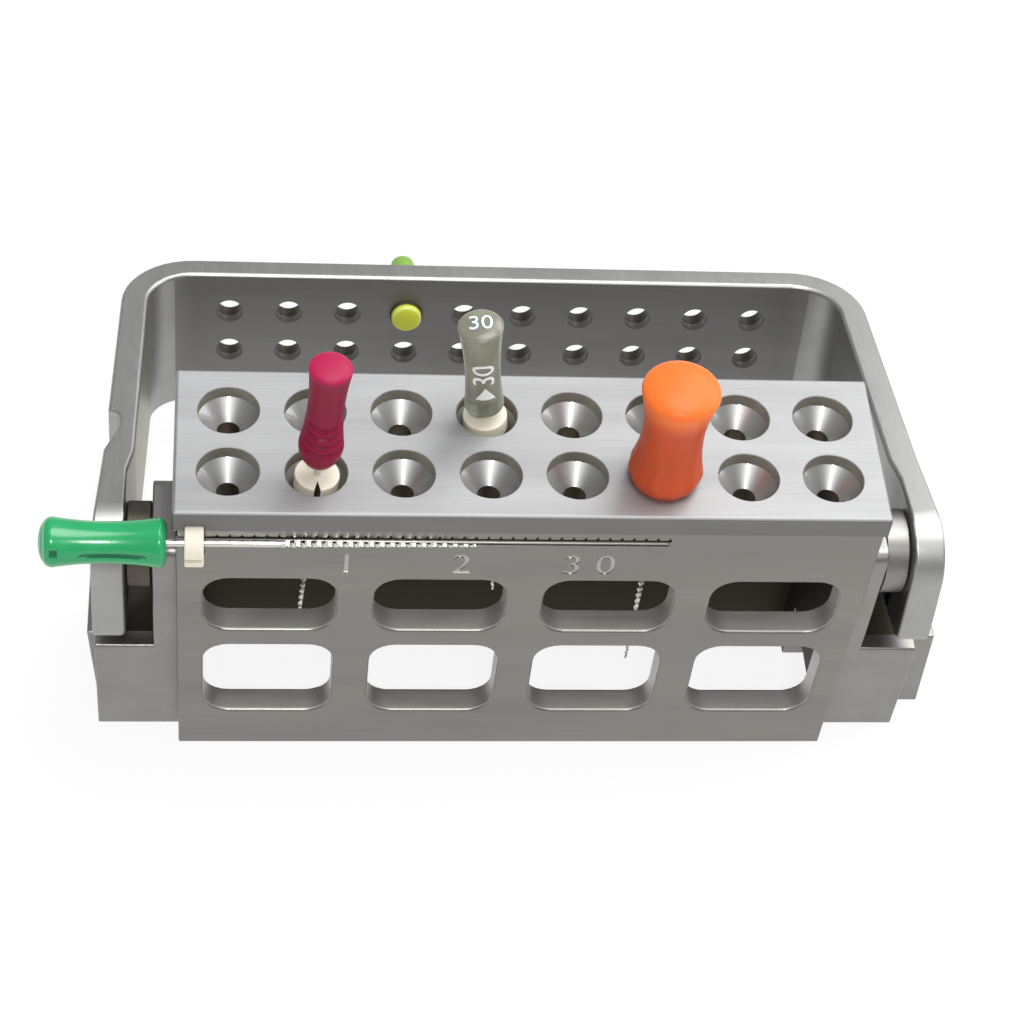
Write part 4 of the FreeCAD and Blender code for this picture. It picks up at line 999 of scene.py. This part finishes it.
def twisted_tree():
    """A twisted wire that rises from the origin and tapers to its tip."""
    tree, node, join = new_tree("twisted_wire", [
        ("Length", "Float"), ("Radius", "Float"), ("Tip Radius", "Float"),
        ("Turns", "Float"), ("Edges", "Int"), ("Finish", "Material")])
    given = node("NodeGroupInput").outputs
    upright_line = node("ShaderNodeCombineXYZ")
    join(given["Length"], upright_line.inputs["Z"])
    line = node("GeometryNodeCurvePrimitiveLine")
    join(upright_line.outputs[0], line.inputs["End"])
    fine = node("GeometryNodeResampleCurve", Count=360)
    join(line.outputs[0], fine.inputs["Curve"])
    place = node("GeometryNodeSplineParameter")
    thick = node("ShaderNodeMapRange")
    join(place.outputs["Factor"], thick.inputs["Value"])
    join(given["Radius"], thick.inputs["To Min"])
    join(given["Tip Radius"], thick.inputs["To Max"])
    whole_turn = node("ShaderNodeMath", operation="MULTIPLY")
    join(given["Turns"], whole_turn.inputs[0])
    whole_turn.inputs[1].default_value = math.tau
    twist = node("ShaderNodeMath", operation="MULTIPLY")
    join(place.outputs["Factor"], twist.inputs[0])
    join(whole_turn.outputs[0], twist.inputs[1])
    set_tilt = node("GeometryNodeSetCurveTilt")
    join(fine.outputs["Curve"], set_tilt.inputs["Curve"])
    join(twist.outputs[0], set_tilt.inputs["Tilt"])
    section = node("GeometryNodeCurvePrimitiveCircle", Radius=1.0)
    join(given["Edges"], section.inputs["Resolution"])
    wire = node("GeometryNodeCurveToMesh", Fill_Caps=True)
    join(set_tilt.outputs[0], wire.inputs["Curve"])
    join(section.outputs[0], wire.inputs["Profile Curve"])
    join(thick.outputs[0], wire.inputs["Scale"])
    real = node("GeometryNodeRealizeInstances")
    join(wire.outputs[0], real.inputs["Geometry"])
    finish = node("GeometryNodeSetMaterial")
    join(real.outputs[0], finish.inputs["Geometry"])
    join(given["Finish"], finish.inputs["Material"])
    out = node("NodeGroupOutput")
    join(finish.outputs[0], out.inputs["Geometry"])
    return tree


wire_finish = turned_metal("file_steel", (0.66, 0.64, 0.6), 0.26)
twisted_wire = twisted_tree()
for name in shape_of:
    wire_top = shape_of[name][0] + shaft_embed
    flute_top = wire_top - (file_length + shaft_embed - flute_length)
    shaft = prism(name + "_shaft", box_outline(-0.1, -0.1, 0.1, 0.1), 0, 1)
    run_tree(shaft, twisted_wire, {"Length": flute_length, "Radius": shaft_radius, "Tip Radius": tip_radius,
                                   "Turns": 4.7, "Edges": 4, "Finish": wire_finish})
    set_down(shaft, Matrix.Translation((0, 0, flute_top)) @ Matrix.Rotation(math.pi, 4, "X"))
    upper = turned("upper", [(0, flute_top - 0.6), (shaft_radius * 0.82, flute_top - 0.6),
                             (shaft_radius, flute_top + 0.4), (shaft_radius, wire_top), (0, wire_top)], 20)
    gather(shaft, upper, wire_finish)
    set_down(shaft, stand_of(name))
    hand_over(shaft, name + "_file", [name + "_file_shaft"], 30)
